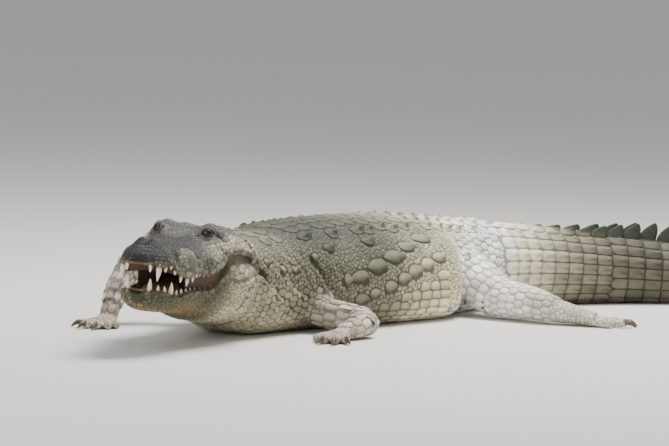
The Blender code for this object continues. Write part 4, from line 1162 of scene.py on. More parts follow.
@dataclass
class Coat:
    """Scales as solid tiles: each is the cell of its root among its neighbours, domed and keeled."""

    skin: bpy.types.Object
    grounds: tuple[Ground, ...]
    closeness: float = 0.74  # roots nearer than this share of their two sizes lose the later one
    neighbours: int = 20

    def sown(self) -> Roots:
        """Roots of every ground, thinned so that the earlier patches win."""
        dice = np.random.default_rng(SEED)
        roots = gathered([g.roots(i, self.skin, dice) for i, g in enumerate(self.grounds)])
        order = np.argsort(-np.minimum(roots.size.min(1), 0.012) // 0.001, kind="stable")
        roots = roots.taken(order)
        tree = tree_of(roots.place)
        radius, sizes, patch = roots.size.mean(1).tolist(), roots.size.tolist(), roots.patch.tolist()
        lies, alive = roots.lie.tolist(), np.ones(len(roots.place), bool)
        for number, place in enumerate(roots.place.tolist()):
            if not alive[number]:
                continue
            long, wide = sizes[number]
            for found, other, gap in tree.find_range(place, 2 * max(long, wide)):
                if other <= number or patch[other] == patch[number]:
                    continue
                forward = sum((f - p) * a for f, p, a in zip(found, place, lies[number])) / (gap + 1e-9)
                own = 1 / ((forward / long) ** 2 + max(0.0, 1 - forward**2) / wide**2) ** 0.5
                share = self.closeness + 0.20 * max(0.0, 1 - radius[other] / own)
                if gap < share * own + self.closeness * radius[other]:
                    alive[other] = False
        return roots.taken(alive)

    def build(self, markings: "Markings") -> list[bpy.types.Object]:
        """All scales, one object for each group of grounds.

        Args:
            markings: colours of the hide.
        Returns:
            the objects, with the colours as the attribute hide and the chart as the UV map.
        """
        roots = self.sown()
        tree, count = tree_of(roots.place), self.neighbours + 1
        found = (tree.find_n(place, count)[1:] for place in roots.place.tolist())
        near = np.array([[number for _, number, _ in group] for group in found])
        made = []
        names = np.array([ground.name for ground in self.grounds])[roots.region]
        for name in dict.fromkeys(ground.name for ground in self.grounds):
            parts = []
            for number, kind in enumerate(Scale):
                chosen = np.flatnonzero((names == name) & (roots.kind == number))
                if len(chosen):
                    tiles = Tiles(self.skin, roots, chosen, kind.value, near[chosen])
                    parts.append((tiles.net(), tiles.colour(markings), tiles.chart()))
            nets, colours, charts = zip(*parts)
            net, chart = joined(nets), np.concatenate(charts)
            piece = mesh_object(name, net)
            paint(piece.data, np.concatenate(colours))
            corners = np.concatenate([block.ravel() for block in net.faces])
            layer = piece.data.uv_layers.new(name="OFBake")
            layer.data.foreach_set("uv", np.ascontiguousarray(chart[corners], np.float32).ravel())
            triangles = sum(len(block) * (block.shape[1] - 2) for block in net.faces)
            log.info("%s: %d scales, %d triangles", name, int((names == name).sum()), triangles)
            made.append(piece)
        return made


# ---------------------------------------------------------------- colours
def ink(red: float, green: float, blue: float) -> Array:
    """Linear colour of one given on the usual 0-255 scale."""
    return (np.array([red, green, blue]) / 255.0) ** 2.2


def blended(first: Array, second: Array, weight: Array) -> Array:
    """Colours between two, by a weight for each place."""
    return first + (second - first) * weight[:, None]


Measures = dict[str, Array]  # named measures of each place, such as its height


@dataclass(frozen=True)
class Zone:
    """A colour laid over a part of the hide, or a shade where the colour is None.

    Its weight is the strength, times the masks, times a soft step of each of the other measures.
    """

    colour: Array | None
    strength: float
    steps: tuple[tuple[str, float, float], ...] = ()  # measure, and where the zone starts and is full
    masks: tuple[str, ...] = ()  # measures between 0 and 1 that weigh it as they are

    def laid(self, under: Array, measures: Measures) -> Array:
        """The colours under the zone, with the zone laid over them."""
        weight = np.full(len(under), self.strength)
        for mask in self.masks:
            weight = weight * measures[mask]
        for measure, start, full in self.steps:
            weight = weight * ramp(measures[measure], start, full)
        return under * (1 - weight)[:, None] if self.colour is None else blended(under, self.colour, weight)


def painted(base: Array, zones: tuple[Zone, ...], measures: Measures, count: int) -> Array:
    """A colour for each of a count of places: a base colour with zones laid over it in order."""
    colour = np.broadcast_to(base, (count, 3))
    for zone in zones:
        colour = zone.laid(colour, measures)
    return colour


BELLY, CHEEK, JAW = ink(196, 188, 158), ink(140, 137, 115), ink(112, 112, 82)
SNOUT, PALE, BLOTCH = ink(66, 67, 66), ink(206, 198, 176), ink(58, 62, 50)
# The first colour, of the hind legs, is their pale hide brightened to near white by painted sunlight.
LEG, ARM, SOLE = ink(252, 248, 236), ink(206, 196, 178), ink(176, 166, 142)
# The third colour is painted shade: the lining darkens to it deep in the mouth, towards the throat.
GUM, THROAT, MOUTH_DEPTH_SHADE = ink(80, 70, 60), ink(104, 84, 70), ink(52, 45, 36)

# Measures: behind is the distance behind the skull; level is the height as a share of the back's,
# and warped is the same with soft noise; bands, and the painted light and shade of the table below, vary along
# the tail and the body.
BODY_ZONES = (
    Zone(ink(166, 160, 134), 1.0, (("warped", 0.02, 0.28),)),
    Zone(ink(142, 139, 117), 1.0, (("warped", 0.30, 0.58),)),
    Zone(ink(109, 110, 95), 1.0, (("warped", 0.62, 0.92),), ("beyond_neck",)),
    # Painted sunlight: near white over the hindquarters and the root of the tail.
    Zone(ink(238, 230, 204), 0.80, (("behind", 1.85, 2.8), ("behind", 4.0, 3.2))),
    Zone(ink(152, 147, 125), 0.75, (("behind", 3.2, 4.0),)),
    Zone(ink(112, 111, 96), 0.80, (("behind", 3.9, 5.0),)),
    Zone(None, 0.20, (("bands", 0.15, 0.9), ("behind", 2.6, 3.6))),
    Zone(None, 0.34, (("behind", 2.9, 3.4), ("warped", 0.55, 0.15))),
    Zone(None, 0.42, (("behind", 0.6, 0.9), ("behind", 1.55, 1.25), ("warped", 0.34, 0.08))),
)
# Painted light and shade along the body, by the distance behind the skull: darker over the front of the trunk,
# much brighter over the hindquarters where sunlight falls, darker again along the tail.
BODY_LIGHT_AND_SHADE = (
    (-0.3, 1.0), (0.4, 0.98), (0.72, 0.60), (1.15, 0.58), (1.35, 0.68), (1.5, 1.00), (1.68, 1.60),
    (1.95, 1.95), (2.3, 1.80), (2.75, 1.62), (3.0, 1.14), (3.35, 0.54), (3.8, 0.44), (6.3, 0.46),
)  # fmt: skip
BODY_SPOTS = Zone(BLOTCH, 0.30, (("spots", 0.35, 0.95), ("level", 0.2, 0.7)))
# Measures: forward is the distance before the jaw joint; rise goes from the lip to the roof.
UPPER_ZONES = (
    Zone(ink(106, 106, 102), 1.0, (("rise", 0.45, 0.85),)),
    Zone(SNOUT, 1.0, (), ("muzzle",)),
    # Pale lobe of the lip: partly its paler skin, partly painted light on the swelling.
    Zone(ink(146, 145, 130), 0.95, (("lobe", 1.12, 0.90),)),
    # Painted shadow round the rear rim of the lobe.
    Zone(None, 0.40, (("lobe_rim", 0.16, 0.05), ("forward", 0.80, 0.74))),
    Zone(PALE, 0.75, (("forward", 0.60, 0.44), ("rise", 0.28, 0.42), ("rise", 0.86, 0.66))),
    # Painted shadow: dark grey patch on the cheek behind the lobe.
    Zone(SNOUT, 0.75, (), ("slate",)),
    Zone(None, 0.24, (("mottle", 0.1, 0.8),)),
    Zone(None, 0.34, (("pits", 0.45, 0.8),)),
)
# Measures: back_by is the distance before the jaw joint; drop goes down from the rim of the jaw.
LOWER_ZONES = (
    Zone(ink(212, 206, 178), 1.0, (("back_by", 0.42, 0.16),)),
    Zone(PALE, 0.8, (), ("bulge",)),
    Zone(ink(172, 142, 98), 0.8, (("back_by", 0.25, 0.75), ("rough_drop", 0.25, 0.6))),
    Zone(SNOUT, 0.65, (), ("slate",)),
    Zone(None, 0.30, (("spots", 0.15, 0.85), ("drop", 0.9, 0.3))),
    Zone(None, 0.35, (("streaks", 0.1, 0.7), ("drop", 0.5, 0.1))),
)


@dataclass(frozen=True)
class Markings:
    """Colours of the hide by the place on the animal, the same for skin and coat."""

    head_middle: tuple[float, float] = (-0.1, -0.2)  # on the floor, before the row's shift
    head_reach: float = 0.62  # metres round it that hold the head
    arm_bands: float = 0.34  # how much darker the bands across the arms are
    leg_bands: float = 0.10
    tile_spread: float = 0.22  # by how much the brightness of single scales differs
    lining_share: float = 0.93  # of the jaws' half widths, that the lining of the mouth takes

    def body(self, points: Array) -> Array:
        """Neck, trunk and tail: by the share of the height, then by the distance behind the skull, with painted
        light and shade along the body.
        """
        behind = BODY.distance(points)
        level = points[:, 2] / (SKULL * smooth(behind, BODY.back_height))
        measures = {
            "behind": behind,
            "level": level,
            "warped": level + 0.10 * noise(points, 0.12, 3),
            "beyond_neck": 0.25 + 0.75 * ramp(behind, 0.4, 0.75),
            "bands": np.sin(2 * np.pi * (behind / 0.47 + 0.25 * noise(points, 0.10, 9))),
            "spots": noise(points, 0.055, 5) + 0.4 * noise(points, 0.16, 6),
        }
        colour = painted(BELLY, BODY_ZONES, measures, len(points))
        # The painted light and shade multiply the zones' colours, before the blotches.
        return BODY_SPOTS.laid(colour * smooth(behind, BODY_LIGHT_AND_SHADE)[:, None], measures)

    def limb_weight(self, points: Array, limb: Limb) -> tuple[Array, Array]:
        """How much a place belongs to a limb, and how far down the limb it is, in SKULL."""
        weight, down = np.zeros(len(points)), np.zeros(len(points))
        before = 0.0
        moved = (points + ORIGIN) / SKULL
        for path, girths in zip(limb.lengths, limb.girths):
            knots, girth = np.array(path), np.array(girths).mean(1)
            for start, end, near, far in zip(knots[:-1], knots[1:], girth[:-1], girth[1:]):
                along = end - start
                t = np.clip(dot(moved - start, along) / dot(along, along), 0, 1)
                gap = np.linalg.norm(moved - start - t[:, None] * along, axis=1) / (near + (far - near) * t)
                own = ramp(gap, 1.55, 1.08)
                down = np.where(own > weight, before + t * np.linalg.norm(along), down)
                weight = np.maximum(weight, own)
                before += np.linalg.norm(along)
        reach = np.linalg.norm(moved - np.array(limb.lengths[2][-1]), axis=1)
        toes = ramp(reach, 0.42, 0.36) * ramp(moved[:, 2], 0.16, 0.09)
        down = np.where(toes > weight, before + reach, down)
        return np.maximum(weight, toes), down

    def limbs(self, colour: Array, points: Array) -> Array:
        """Lays the legs' paler colours over the body's, on the hind legs partly painted sunlight, with dark
        bands across the arms.
        """
        for limb in LIMBS:
            weight, down = self.limb_weight(points, limb)
            measures = {"down": down, "bands": np.sin(2 * np.pi * down / 0.155 + 1.6 * noise(points, 0.05, 11))}
            zones = (
                Zone(SOLE, 0.6, (("down", 0.75, 1.0),)),
                Zone(None, self.leg_bands if limb.webbed else self.arm_bands, (("bands", 0.2, 0.95),)),
            )
            own = painted(LEG if limb.webbed else ARM, zones, measures, len(points))
            colour = blended(colour, own, weight * (0.35 + 0.65 * ramp(down, 0.10, 0.34)))
        return colour

    def upper(self, place: Array, above: Array) -> Array:
        """Upper head: grey brow and dark muzzle, paler cheek, and the swollen lobe of the lip, pale partly by
        painted light, with painted shadow round its rear and on the cheek behind it.

        Args:
            place: (N, 3) places in the row frame.
            above: the same in the upper head's own frame.
        Returns:
            (N, 3) colours.
        """
        forward, aside, height = above[:, 0], np.abs(above[:, 1]) > 0.10, above[:, 2]
        lip, roof = smooth(forward, HEAD.lip_height), smooth(forward, HEAD.roof_height)
        rise = (height - lip) / (roof - lip) + 0.10 * noise(place, 0.045, 21)
        lobe = np.hypot((forward - 0.765) / 0.082, (height - 0.020) / 0.090) + 0.10 * noise(place, 0.02, 22)
        lobe = np.where(aside, lobe, np.inf)
        front = ramp(forward, 0.80, 0.98) * ramp(rise, 0.0, 0.5)
        measures = {
            "forward": forward,
            "rise": rise,
            "muzzle": np.maximum(front, ramp(rise, 0.55, 0.95) * ramp(forward, 0.45, 0.6)),
            "lobe": lobe,
            "lobe_rim": np.abs(lobe - 1.08),
            "slate": bell((forward - 0.57) / 0.07, (height - 0.045) / 0.055),
            "mottle": noise(place, 0.030, 23) + 0.6 * noise(place, 0.011, 24),
            "pits": noise(place, 0.0075, 26),
        }
        return painted(CHEEK, UPPER_ZONES, measures, len(place))

    def lower(self, place: Array, below: Array, rim: Array) -> Array:
        """Lower jaw: olive in front, pale behind the corner of the mouth, warm under the chin.

        Args:
            place: (N, 3) places in the row frame.
            below: the same in the lower jaw's own frame.
            rim: height of the jaw's rim there.
        Returns:
            (N, 3) colours.
        """
        forward, height = below[:, 0], below[:, 2]
        drop = (rim - height) / 0.2
        measures = {
            "back_by": forward,
            "drop": drop,
            "rough_drop": drop + 0.1 * noise(place, 0.05, 25),
            "bulge": bell((forward - 0.20) / 0.07, (height - 0.055) / 0.035),
            "slate": bell((forward - 0.47) / 0.10, (drop - 0.42) / 0.22),
            "spots": noise(place, 0.040, 27) + 0.35 * noise(place, 0.014, 28),
            "streaks": noise(place * (1, 1, 0.35), 0.007, 29),
        }
        return painted(JAW, LOWER_ZONES, measures, len(place))

    def head(self, colour: Array, points: Array) -> Array:
        """Lays the colours of both jaws over the rest."""
        near = np.linalg.norm(points[:, :2] + ORIGIN[:2] - self.head_middle, axis=1) < self.head_reach
        if not near.any():
            return colour
        place = points[near]
        above, below = HEAD.local(place, HEAD.upper_pitch), HEAD.local(place, HEAD.lower_pitch)
        over_lip = above[:, 2] - smooth(above[:, 0], HEAD.lip_height)
        rim = smooth(above[:, 0], HEAD.jaw_rim)
        over_rim = below[:, 2] - rim
        is_lower = ramp(over_lip, 0.0, -0.03) * ramp(over_rim, 0.035, 0.01)
        own = blended(self.upper(place, above), self.lower(place, below, rim), is_lower)
        weight = ramp(above[:, 0] + 0.02 * noise(place, 0.03, 30), -0.06, 0.05) * (np.abs(above[:, 1]) < 0.42)
        colour = colour.copy()
        colour[near] = blended(colour[near], own, weight)
        return colour

    def colour(self, points: Array) -> Array:
        """Colour of the hide at each place: body, then limbs, then head."""
        colour = self.head(self.limbs(self.body(points), points), points)
        tint = 1 + 0.09 * layered(points, 0.09, 31)
        return np.clip(colour * tint[:, None], 0.004, 0.9)

    def tile_tone(self, places: Array, numbers: Array) -> Array:
        """Brightness of single scales, a little different from one to the next."""
        dice = np.sin(numbers * 12.9898 + 4.1) * 43758.5453
        return 1.04 + self.tile_spread * ((dice - np.floor(dice)) - 0.5) * 2 + 0.05 * noise(places, 0.02, 33)

    def mouth(self, points: Array) -> tuple[Array, Array]:
        """Share by which each place is inside the mouth, and the colour of its lining there, darker deep in the
        mouth by painted shade.
        """
        above, below = HEAD.local(points, HEAD.upper_pitch), HEAD.local(points, HEAD.lower_pitch)
        side = np.abs(above[:, 1])
        wide, narrow = smooth(above[:, 0], HEAD.lip_half_width), smooth(below[:, 0], HEAD.jaw_half_width)
        over = (side < self.lining_share * wide) & (above[:, 0] < HEAD.snout_tip - 0.022)
        under = (side < self.lining_share * narrow) & (below[:, 0] < HEAD.jaw_tip - 0.022)
        over &= above[:, 2] - smooth(above[:, 0], HEAD.lip_height) < 0.030
        under &= below[:, 2] - smooth(below[:, 0], HEAD.jaw_rim) > -0.036
        inner = over & under & (above[:, 0] > 0.02)
        edge = side / np.maximum(np.minimum(wide, narrow), 0.02)
        colour = blended(THROAT, GUM, ramp(edge, 0.60, 0.85) * ramp(above[:, 0], 0.36, 0.62))
        # Painted shade deep in the mouth, behind its corners.
        return inner.astype(float), blended(colour, MOUTH_DEPTH_SHADE, ramp(above[:, 0], 0.46, 0.34))


MARKINGS = Markings()


# ---------------------------------------------------------------- finishes
SPECK_SCALE = 260.0
ROUGHNESS_SCALE = 90.0


class Board:
    """Node tree of a material in the making, with its shader and the place that its noises read."""

    def __init__(self, made: bpy.types.Material, stretch: float = 1.0) -> None:
        """Starts from the shader alone, on the object's own coordinates."""
        made.use_nodes = True
        self.tree = made.node_tree
        self.shader = self.tree.nodes["Principled BSDF"]
        mapping = self.node("ShaderNodeMapping", {"Scale": (1.0, 1.0, 1.0 / stretch)})
        self.link(self.node("ShaderNodeTexCoord", {}).outputs["Object"], mapping.inputs["Vector"])
        self.place = mapping.outputs["Vector"]

    def node(self, kind: str, values: dict[str, object]) -> bpy.types.Node:
        """A new node with values set on its sockets."""
        made = self.tree.nodes.new(kind)
        for name, value in values.items():
            made.inputs[name].default_value = value
        return made

    def link(self, source: bpy.types.NodeSocket, target: bpy.types.NodeSocket) -> None:
        """Joins two sockets."""
        self.tree.links.new(source, target)

    def mapped(
        self, value: bpy.types.NodeSocket, source: tuple[float, float], target: tuple[float, float]
    ) -> bpy.types.NodeSocket:
        """A value moved from one range to another, and kept inside it."""
        ends = dict(zip(("From Min", "From Max", "To Min", "To Max"), (*source, *target)))
        made = self.node("ShaderNodeMapRange", ends)
        self.link(value, made.inputs["Value"])
        return made.outputs["Result"]

    def times(self, colour: bpy.types.NodeSocket, factor: bpy.types.NodeSocket) -> bpy.types.NodeSocket:
        """Colour made brighter or darker by a factor."""
        made = self.node("ShaderNodeVectorMath", {})
        made.operation = "SCALE"
        self.link(colour, made.inputs[0])
        self.link(factor, made.inputs["Scale"])
        return made.outputs["Vector"]

    def bump(self, height: bpy.types.NodeSocket, depth: float) -> None:
        """Adds fine relief over that which the shader has."""
        made = self.node("ShaderNodeBump", {"Strength": 0.8, "Distance": depth})
        self.link(height, made.inputs["Height"])
        for link in tuple(self.shader.inputs["Normal"].links):
            self.link(link.from_socket, made.inputs["Normal"])
        self.link(made.outputs["Normal"], self.shader.inputs["Normal"])


@dataclass(frozen=True)
class Finish:
    """A natural surface: its colour, mottling, roughness and fine relief; sizes are per metre."""

    name: str
    colour: Colour | None = None  # None reads the painted colours
    mottle: tuple[tuple[float, float], ...] = ()  # scale and strength of each layer
    specks: float = 0.0
    roughness: float = 0.6
    roughness_spread: float = 0.15
    grain: tuple[float, float] = (700.0, 0.0004)
    cells: tuple[float, float] = (300.0, 0.0)
    cracks: tuple[float, float] = (150.0, 0.0)  # scale, and how dark the lines between cells are
    streaks: float = 0.0  # stretches the mottling along Z by this much more than 1
    coat: float = 0.0
    specular: float = 0.5
    subsurface: float = 0.0

    def noise(self, board: Board, scale: float) -> bpy.types.NodeSocket:
        """Fractal noise of one scale on the object's own coordinates."""
        made = board.node("ShaderNodeTexNoise", {"Scale": scale, "Detail": 4.0, "Roughness": 0.6})
        board.link(board.place, made.inputs["Vector"])
        return made.outputs["Fac"]

    def spread(self, board: Board, scale: float, low: float, high: float) -> bpy.types.NodeSocket:
        """Noise whose middle is mapped to a range."""
        return board.mapped(self.noise(board, scale), (0.3, 0.7), (low, high))

    def edges(self, board: Board, scale: float, width: float, low: float) -> bpy.types.NodeSocket:
        """Value that falls from 1 inside cells to a low one on the lines between them."""
        cells = board.node("ShaderNodeTexVoronoi", {"Scale": scale})
        cells.feature = "DISTANCE_TO_EDGE"
        board.link(board.place, cells.inputs["Vector"])
        return board.mapped(cells.outputs["Distance"], (0.0, width), (low, 1.0))

    def colours(self, board: Board) -> bpy.types.NodeSocket:
        """The painted or plain colour, mottled, specked and dark between cells."""
        if self.colour is None:
            source = board.node("ShaderNodeAttribute", {})
            source.attribute_name = COLOUR_LAYER
        else:
            source = board.node("ShaderNodeRGB", {})
            source.outputs[0].default_value = (*ink(*self.colour), 1.0)
        colour = source.outputs["Color"]
        for scale, strength in self.mottle:
            colour = board.times(colour, self.spread(board, scale, 1 - strength, 1 + strength))
        if self.specks:
            grains = board.mapped(self.noise(board, SPECK_SCALE), (0.60, 0.68), (1.0, 1.0 - self.specks))
            colour = board.times(colour, grains)
        scale, strength = self.cracks
        return board.times(colour, self.edges(board, scale, 0.14, 1 - strength)) if strength else colour

    def material(self) -> bpy.types.Material:
        """Builds the node tree: mottled colour, uneven roughness, grain and cells as bump."""
        made = bpy.data.materials.new(self.name)
        board = Board(made, 1.0 + self.streaks)
        board.link(self.colours(board), board.shader.inputs["Base Color"])
        low, high = self.roughness - self.roughness_spread, self.roughness + self.roughness_spread
        uneven = self.spread(board, ROUGHNESS_SCALE, max(low, 0.03), min(high, 1.0))
        board.link(uneven, board.shader.inputs["Roughness"])
        for (scale, depth), cells in ((self.grain, False), (self.cells, True)):
            if depth > 0:
                board.bump(self.edges(board, scale, 0.16, 0.0) if cells else self.noise(board, scale), depth)
        values = {
            "Coat Weight": self.coat,
            "Coat Roughness": 0.06,
            "Specular IOR Level": self.specular,
            "Subsurface Weight": self.subsurface,
            "Subsurface Radius": (0.004, 0.002, 0.001),
            "Subsurface Scale": 1.0,
        }
        for name, value in values.items():
            board.shader.inputs[name].default_value = value
        return made


HIDE = Finish("hide", mottle=((7.0, 0.10), (45.0, 0.13), (210.0, 0.14)), specks=0.22, roughness=0.66,
              grain=(620.0, 0.0009), cells=(330.0, 0.0004), specular=0.35)  # fmt: skip
HEAD_HIDE = Finish("head_hide", mottle=((9.0, 0.08), (90.0, 0.24), (260.0, 0.15)), specks=0.45,
                   roughness=0.58, grain=(700.0, 0.0012), cells=(190.0, 0.0012), cracks=(95.0, 0.38),
                   specular=0.40)  # fmt: skip
CREST_HIDE = Finish("crest_hide", mottle=((12.0, 0.15), (80.0, 0.22), (240.0, 0.15)), specks=0.35,
                    roughness=0.62, grain=(500.0, 0.0010), cells=(220.0, 0.0004), specular=0.35)  # fmt: skip
LINING = Finish("mouth_lining", mottle=((30.0, 0.14), (160.0, 0.18)), specks=0.18, roughness=0.42,
                grain=(420.0, 0.0009), cells=(200.0, 0.0005), specular=0.5, subsurface=0.08)  # fmt: skip
TONGUE_FINISH = Finish("tongue_flesh", (140, 100, 78), ((25.0, 0.15), (140.0, 0.20)), 0.15, 0.45,
                       grain=(380.0, 0.0010), cells=(420.0, 0.0008), subsurface=0.10)  # fmt: skip
IVORY = Finish("ivory", None, ((35.0, 0.10), (300.0, 0.10)), 0.10, 0.30, 0.10,
               grain=(900.0, 0.0002), streaks=6.0, coat=0.25, subsurface=0.06)  # fmt: skip
CLAW_HORN = Finish("claw_horn", (86, 76, 58), ((40.0, 0.22), (260.0, 0.22)), 0.20, 0.38, 0.12,
                   grain=(600.0, 0.0005), coat=0.15)  # fmt: skip
EYE_GLOSS = Finish("eye_gloss", mottle=((240.0, 0.16),), roughness=0.20, roughness_spread=0.05,
                   grain=(300.0, 0.0), coat=0.12, specular=0.28)  # fmt: skip


# ---------------------------------------------------------------- folds, eyes and skin
@dataclass(frozen=True)
class Fold:
    """Groove or ridge along a path on the animal: depth times a bell curve of the distance to it."""

    frame: str  # upper or lower: points of the head's own frame; body: distance, side and height
    path: tuple[Point, ...]
    width: float
    depth: float  # metres inwards; negative raises a ridge
    both_sides: bool = True
    bare: bool = True  # bears no scales in its bottom, which is dark

    def placed(self, mirror: int) -> Array:
        """The path in the row frame, on the left or the right side."""
        points = np.array(self.path, float)
        if self.frame == "body":
            x, y, heading = BODY.spine(points[:, 0])
            side = points[:, 1] * mirror
            world = np.stack([x + np.cos(heading) * side, y - np.sin(heading) * side, points[:, 2]], -1)
            return world - ORIGIN
        pitch = HEAD.upper_pitch if self.frame == "upper" else HEAD.lower_pitch
        return HEAD.world(points * (1, mirror, 1), pitch)

    def weight(self, points: Array, wider: float = 0.0) -> Array:
        """1 on the path, falling to 0 on both sides as a bell curve, and fading towards its ends.

        Args:
            points: (N, 3) places.
            wider: metres added to the width.
        Returns:
            (N,) weights.
        """
        wide = self.width + wider
        result = np.zeros(len(points))
        for mirror in (1, -1) if self.both_sides else (1,):
            knots = self.placed(mirror)
            count = 6 * (len(knots) - 1) + 1
            path = curved(np.linspace(0, len(knots) - 1, count), np.arange(len(knots)), knots)
            near = np.all((points > path.min(0) - 3 * wide) & (points < path.max(0) + 3 * wide), 1)
            start, along = path[:-1], np.diff(path, axis=0)
            apart = points[near, None] - start
            share = np.clip(dot(apart, along) / np.maximum(dot(along, along), 1e-12), 0, 1)
            gap = np.linalg.norm(apart - share[..., None] * along, axis=-1)
            nearest = gap.argmin(1)
            row = np.arange(len(nearest))
            at = (nearest + share[row, nearest]) / (count - 1)
            taper = np.minimum(1.0, 5.0 * np.minimum(at, 1 - at) + 0.25)
            result[near] = np.maximum(result[near], bell(gap[row, nearest] / wide) * taper)
        return result


NARROW_DEPTH, NARROW_WIDTH = 0.0045, 0.012  # metres; deeper and narrower folds bear no scales
BARE_MARGIN = 0.002  # metres beside a narrow fold that bear none either
FOLDS = (
    # Ear slit, the flap over it, and the crease under the eye.
    Fold("upper", ((0.424, 0.173, 0.218), (0.400, 0.209, 0.195), (0.354, 0.243, 0.173)), 0.0040, 0.011),
    Fold("upper", ((0.410, 0.165, 0.232), (0.372, 0.205, 0.214), (0.335, 0.232, 0.192)), 0.008, -0.004),
    Fold("upper", ((0.505, 0.105, 0.180), (0.489, 0.155, 0.172), (0.450, 0.188, 0.172)), 0.005, 0.0045),
    # Arch of skin behind the corner of the mouth, and the roll over it.
    Fold("upper", ((0.388, 0.269, 0.065), (0.355, 0.278, 0.085), (0.306, 0.294, 0.101), (0.231, 0.315, 0.098),
                   (0.151, 0.330, 0.080), (0.060, 0.329, 0.060)), 0.0075, 0.018),
    Fold("upper", ((0.360, 0.262, 0.118), (0.300, 0.285, 0.132), (0.225, 0.305, 0.128), (0.14, 0.318, 0.11)),
         0.011, -0.008),
    # Swollen skin below the arch, with the grooves and rolls under it.
    Fold("lower", ((0.25, 0.270, 0.060), (0.168, 0.290, 0.066), (0.10, 0.300, 0.050)), 0.022, -0.010),
    Fold("lower", ((0.330, 0.262, 0.024), (0.292, 0.277, 0.016), (0.243, 0.299, 0.000), (0.145, 0.320, 0.014),
                   (0.02, 0.310, 0.022)), 0.008, 0.010),
    Fold("lower", ((0.24, 0.30, -0.035), (0.15, 0.32, -0.025), (0.06, 0.315, -0.02)), 0.010, -0.005),
    Fold("lower", ((0.20, 0.31, -0.060), (0.11, 0.32, -0.050), (0.03, 0.315, -0.04)), 0.007, 0.006),
    # Crease behind the skull, to the side of the neck and down to the throat.
    Fold("upper", ((0.193, 0.270, 0.202), (0.158, 0.289, 0.189), (0.150, 0.307, 0.163), (0.094, 0.323, 0.124),
                   (0.035, 0.324, 0.087), (-0.085, 0.303, 0.039), (-0.20, 0.29, 0.0), (-0.30, 0.29, -0.06)),
         0.0085, 0.022),
    Fold("lower", ((-0.085, 0.303, 0.039), (0.004, 0.317, -0.010), (0.047, 0.317, -0.036),
                   (0.094, 0.308, -0.085), (0.108, 0.287, -0.137), (0.118, 0.251, -0.186),
                   (0.101, 0.211, -0.221)), 0.010, 0.016),
    # Pinch behind the nose, groove behind the lip's lobe, the lobe and the swelling behind it.
    Fold("upper", ((0.880, 0.100, 0.110), (0.867, 0.140, 0.075), (0.860, 0.162, 0.030),
                   (0.850, 0.170, -0.010)), 0.011, 0.009),
    Fold("upper", ((0.660, 0.190, 0.080), (0.690, 0.212, 0.040), (0.705, 0.215, -0.005)), 0.011, 0.009),
    Fold("upper", ((0.80, 0.165, 0.075), (0.775, 0.200, 0.030), (0.785, 0.195, -0.035)), 0.030, -0.012),
    Fold("upper", ((0.60, 0.190, 0.075), (0.52, 0.225, 0.050), (0.45, 0.250, 0.050)), 0.028, -0.007),
    # Nostrils and the furrow between them.
    Fold("upper", ((0.965, 0.024, 0.152), (0.985, 0.040, 0.150), (1.000, 0.050, 0.136)), 0.0045, 0.009),
    Fold("upper", ((1.03, 0.0, 0.10), (0.97, 0.0, 0.14)), 0.006, 0.004, False),
    # Pits of the cheek, and the inner edge of the arch.
    *(Fold("upper", (place, tuple(np.add(place, (-0.008, 0.005, -0.008)))), 0.0050, 0.008)
      for place in ((0.423, 0.238, 0.128), (0.411, 0.247, 0.121), (0.399, 0.255, 0.114), (0.385, 0.263, 0.102),
                    (0.371, 0.272, 0.089))),
    Fold("upper", ((0.302, 0.296, 0.098), (0.262, 0.308, 0.112), (0.212, 0.318, 0.106), (0.165, 0.328, 0.086),
                   (0.130, 0.331, 0.066)), 0.0050, 0.010),
    # Rolls of the neck and before the shoulder, and the crease before the thigh.
    Fold("body", ((0.126, 0.149, 0.200), (0.262, 0.157, 0.161), (0.398, 0.166, 0.116), (0.588, 0.168, 0.056)),
         0.014, 0.010, True, False),
    Fold("body", ((0.10, 0.160, 0.245), (0.26, 0.168, 0.215), (0.45, 0.180, 0.165), (0.66, 0.200, 0.100)),
         0.013, 0.007, True, False),
    Fold("body", ((0.62, 0.150, 0.235), (0.74, 0.195, 0.185), (0.84, 0.225, 0.120), (0.90, 0.235, 0.060)),
         0.016, 0.008, True, False),
    Fold("body", ((2.30, 0.150, 0.230), (2.32, 0.185, 0.180), (2.30, 0.200, 0.110), (2.28, 0.205, 0.040)),
         0.014, 0.014),
)  # fmt: skip


def creased(points: Array, bare: bool) -> Array:
    """Metres by which all folds, or only the bare ones, move each place, inwards below zero."""
    return sum(-fold.depth * fold.weight(points) for fold in FOLDS if fold.bare or not bare)


def bared(points: Array) -> Array:
    """1 in and beside the narrow folds that bear no scales, 0 elsewhere."""
    narrow = [fold for fold in FOLDS if fold.bare and fold.depth > NARROW_DEPTH and fold.width < NARROW_WIDTH]
    return ramp(np.max([fold.weight(points, BARE_MARGIN) for fold in narrow], 0), 0.50, 0.66)


IRIS, WHITE, IRIS_RIM, PUPIL, LID_EDGE = (
    ink(*values) for values in ((60, 40, 22), (42, 30, 22), (20, 15, 9), (6, 5, 4), (78, 58, 44))
)


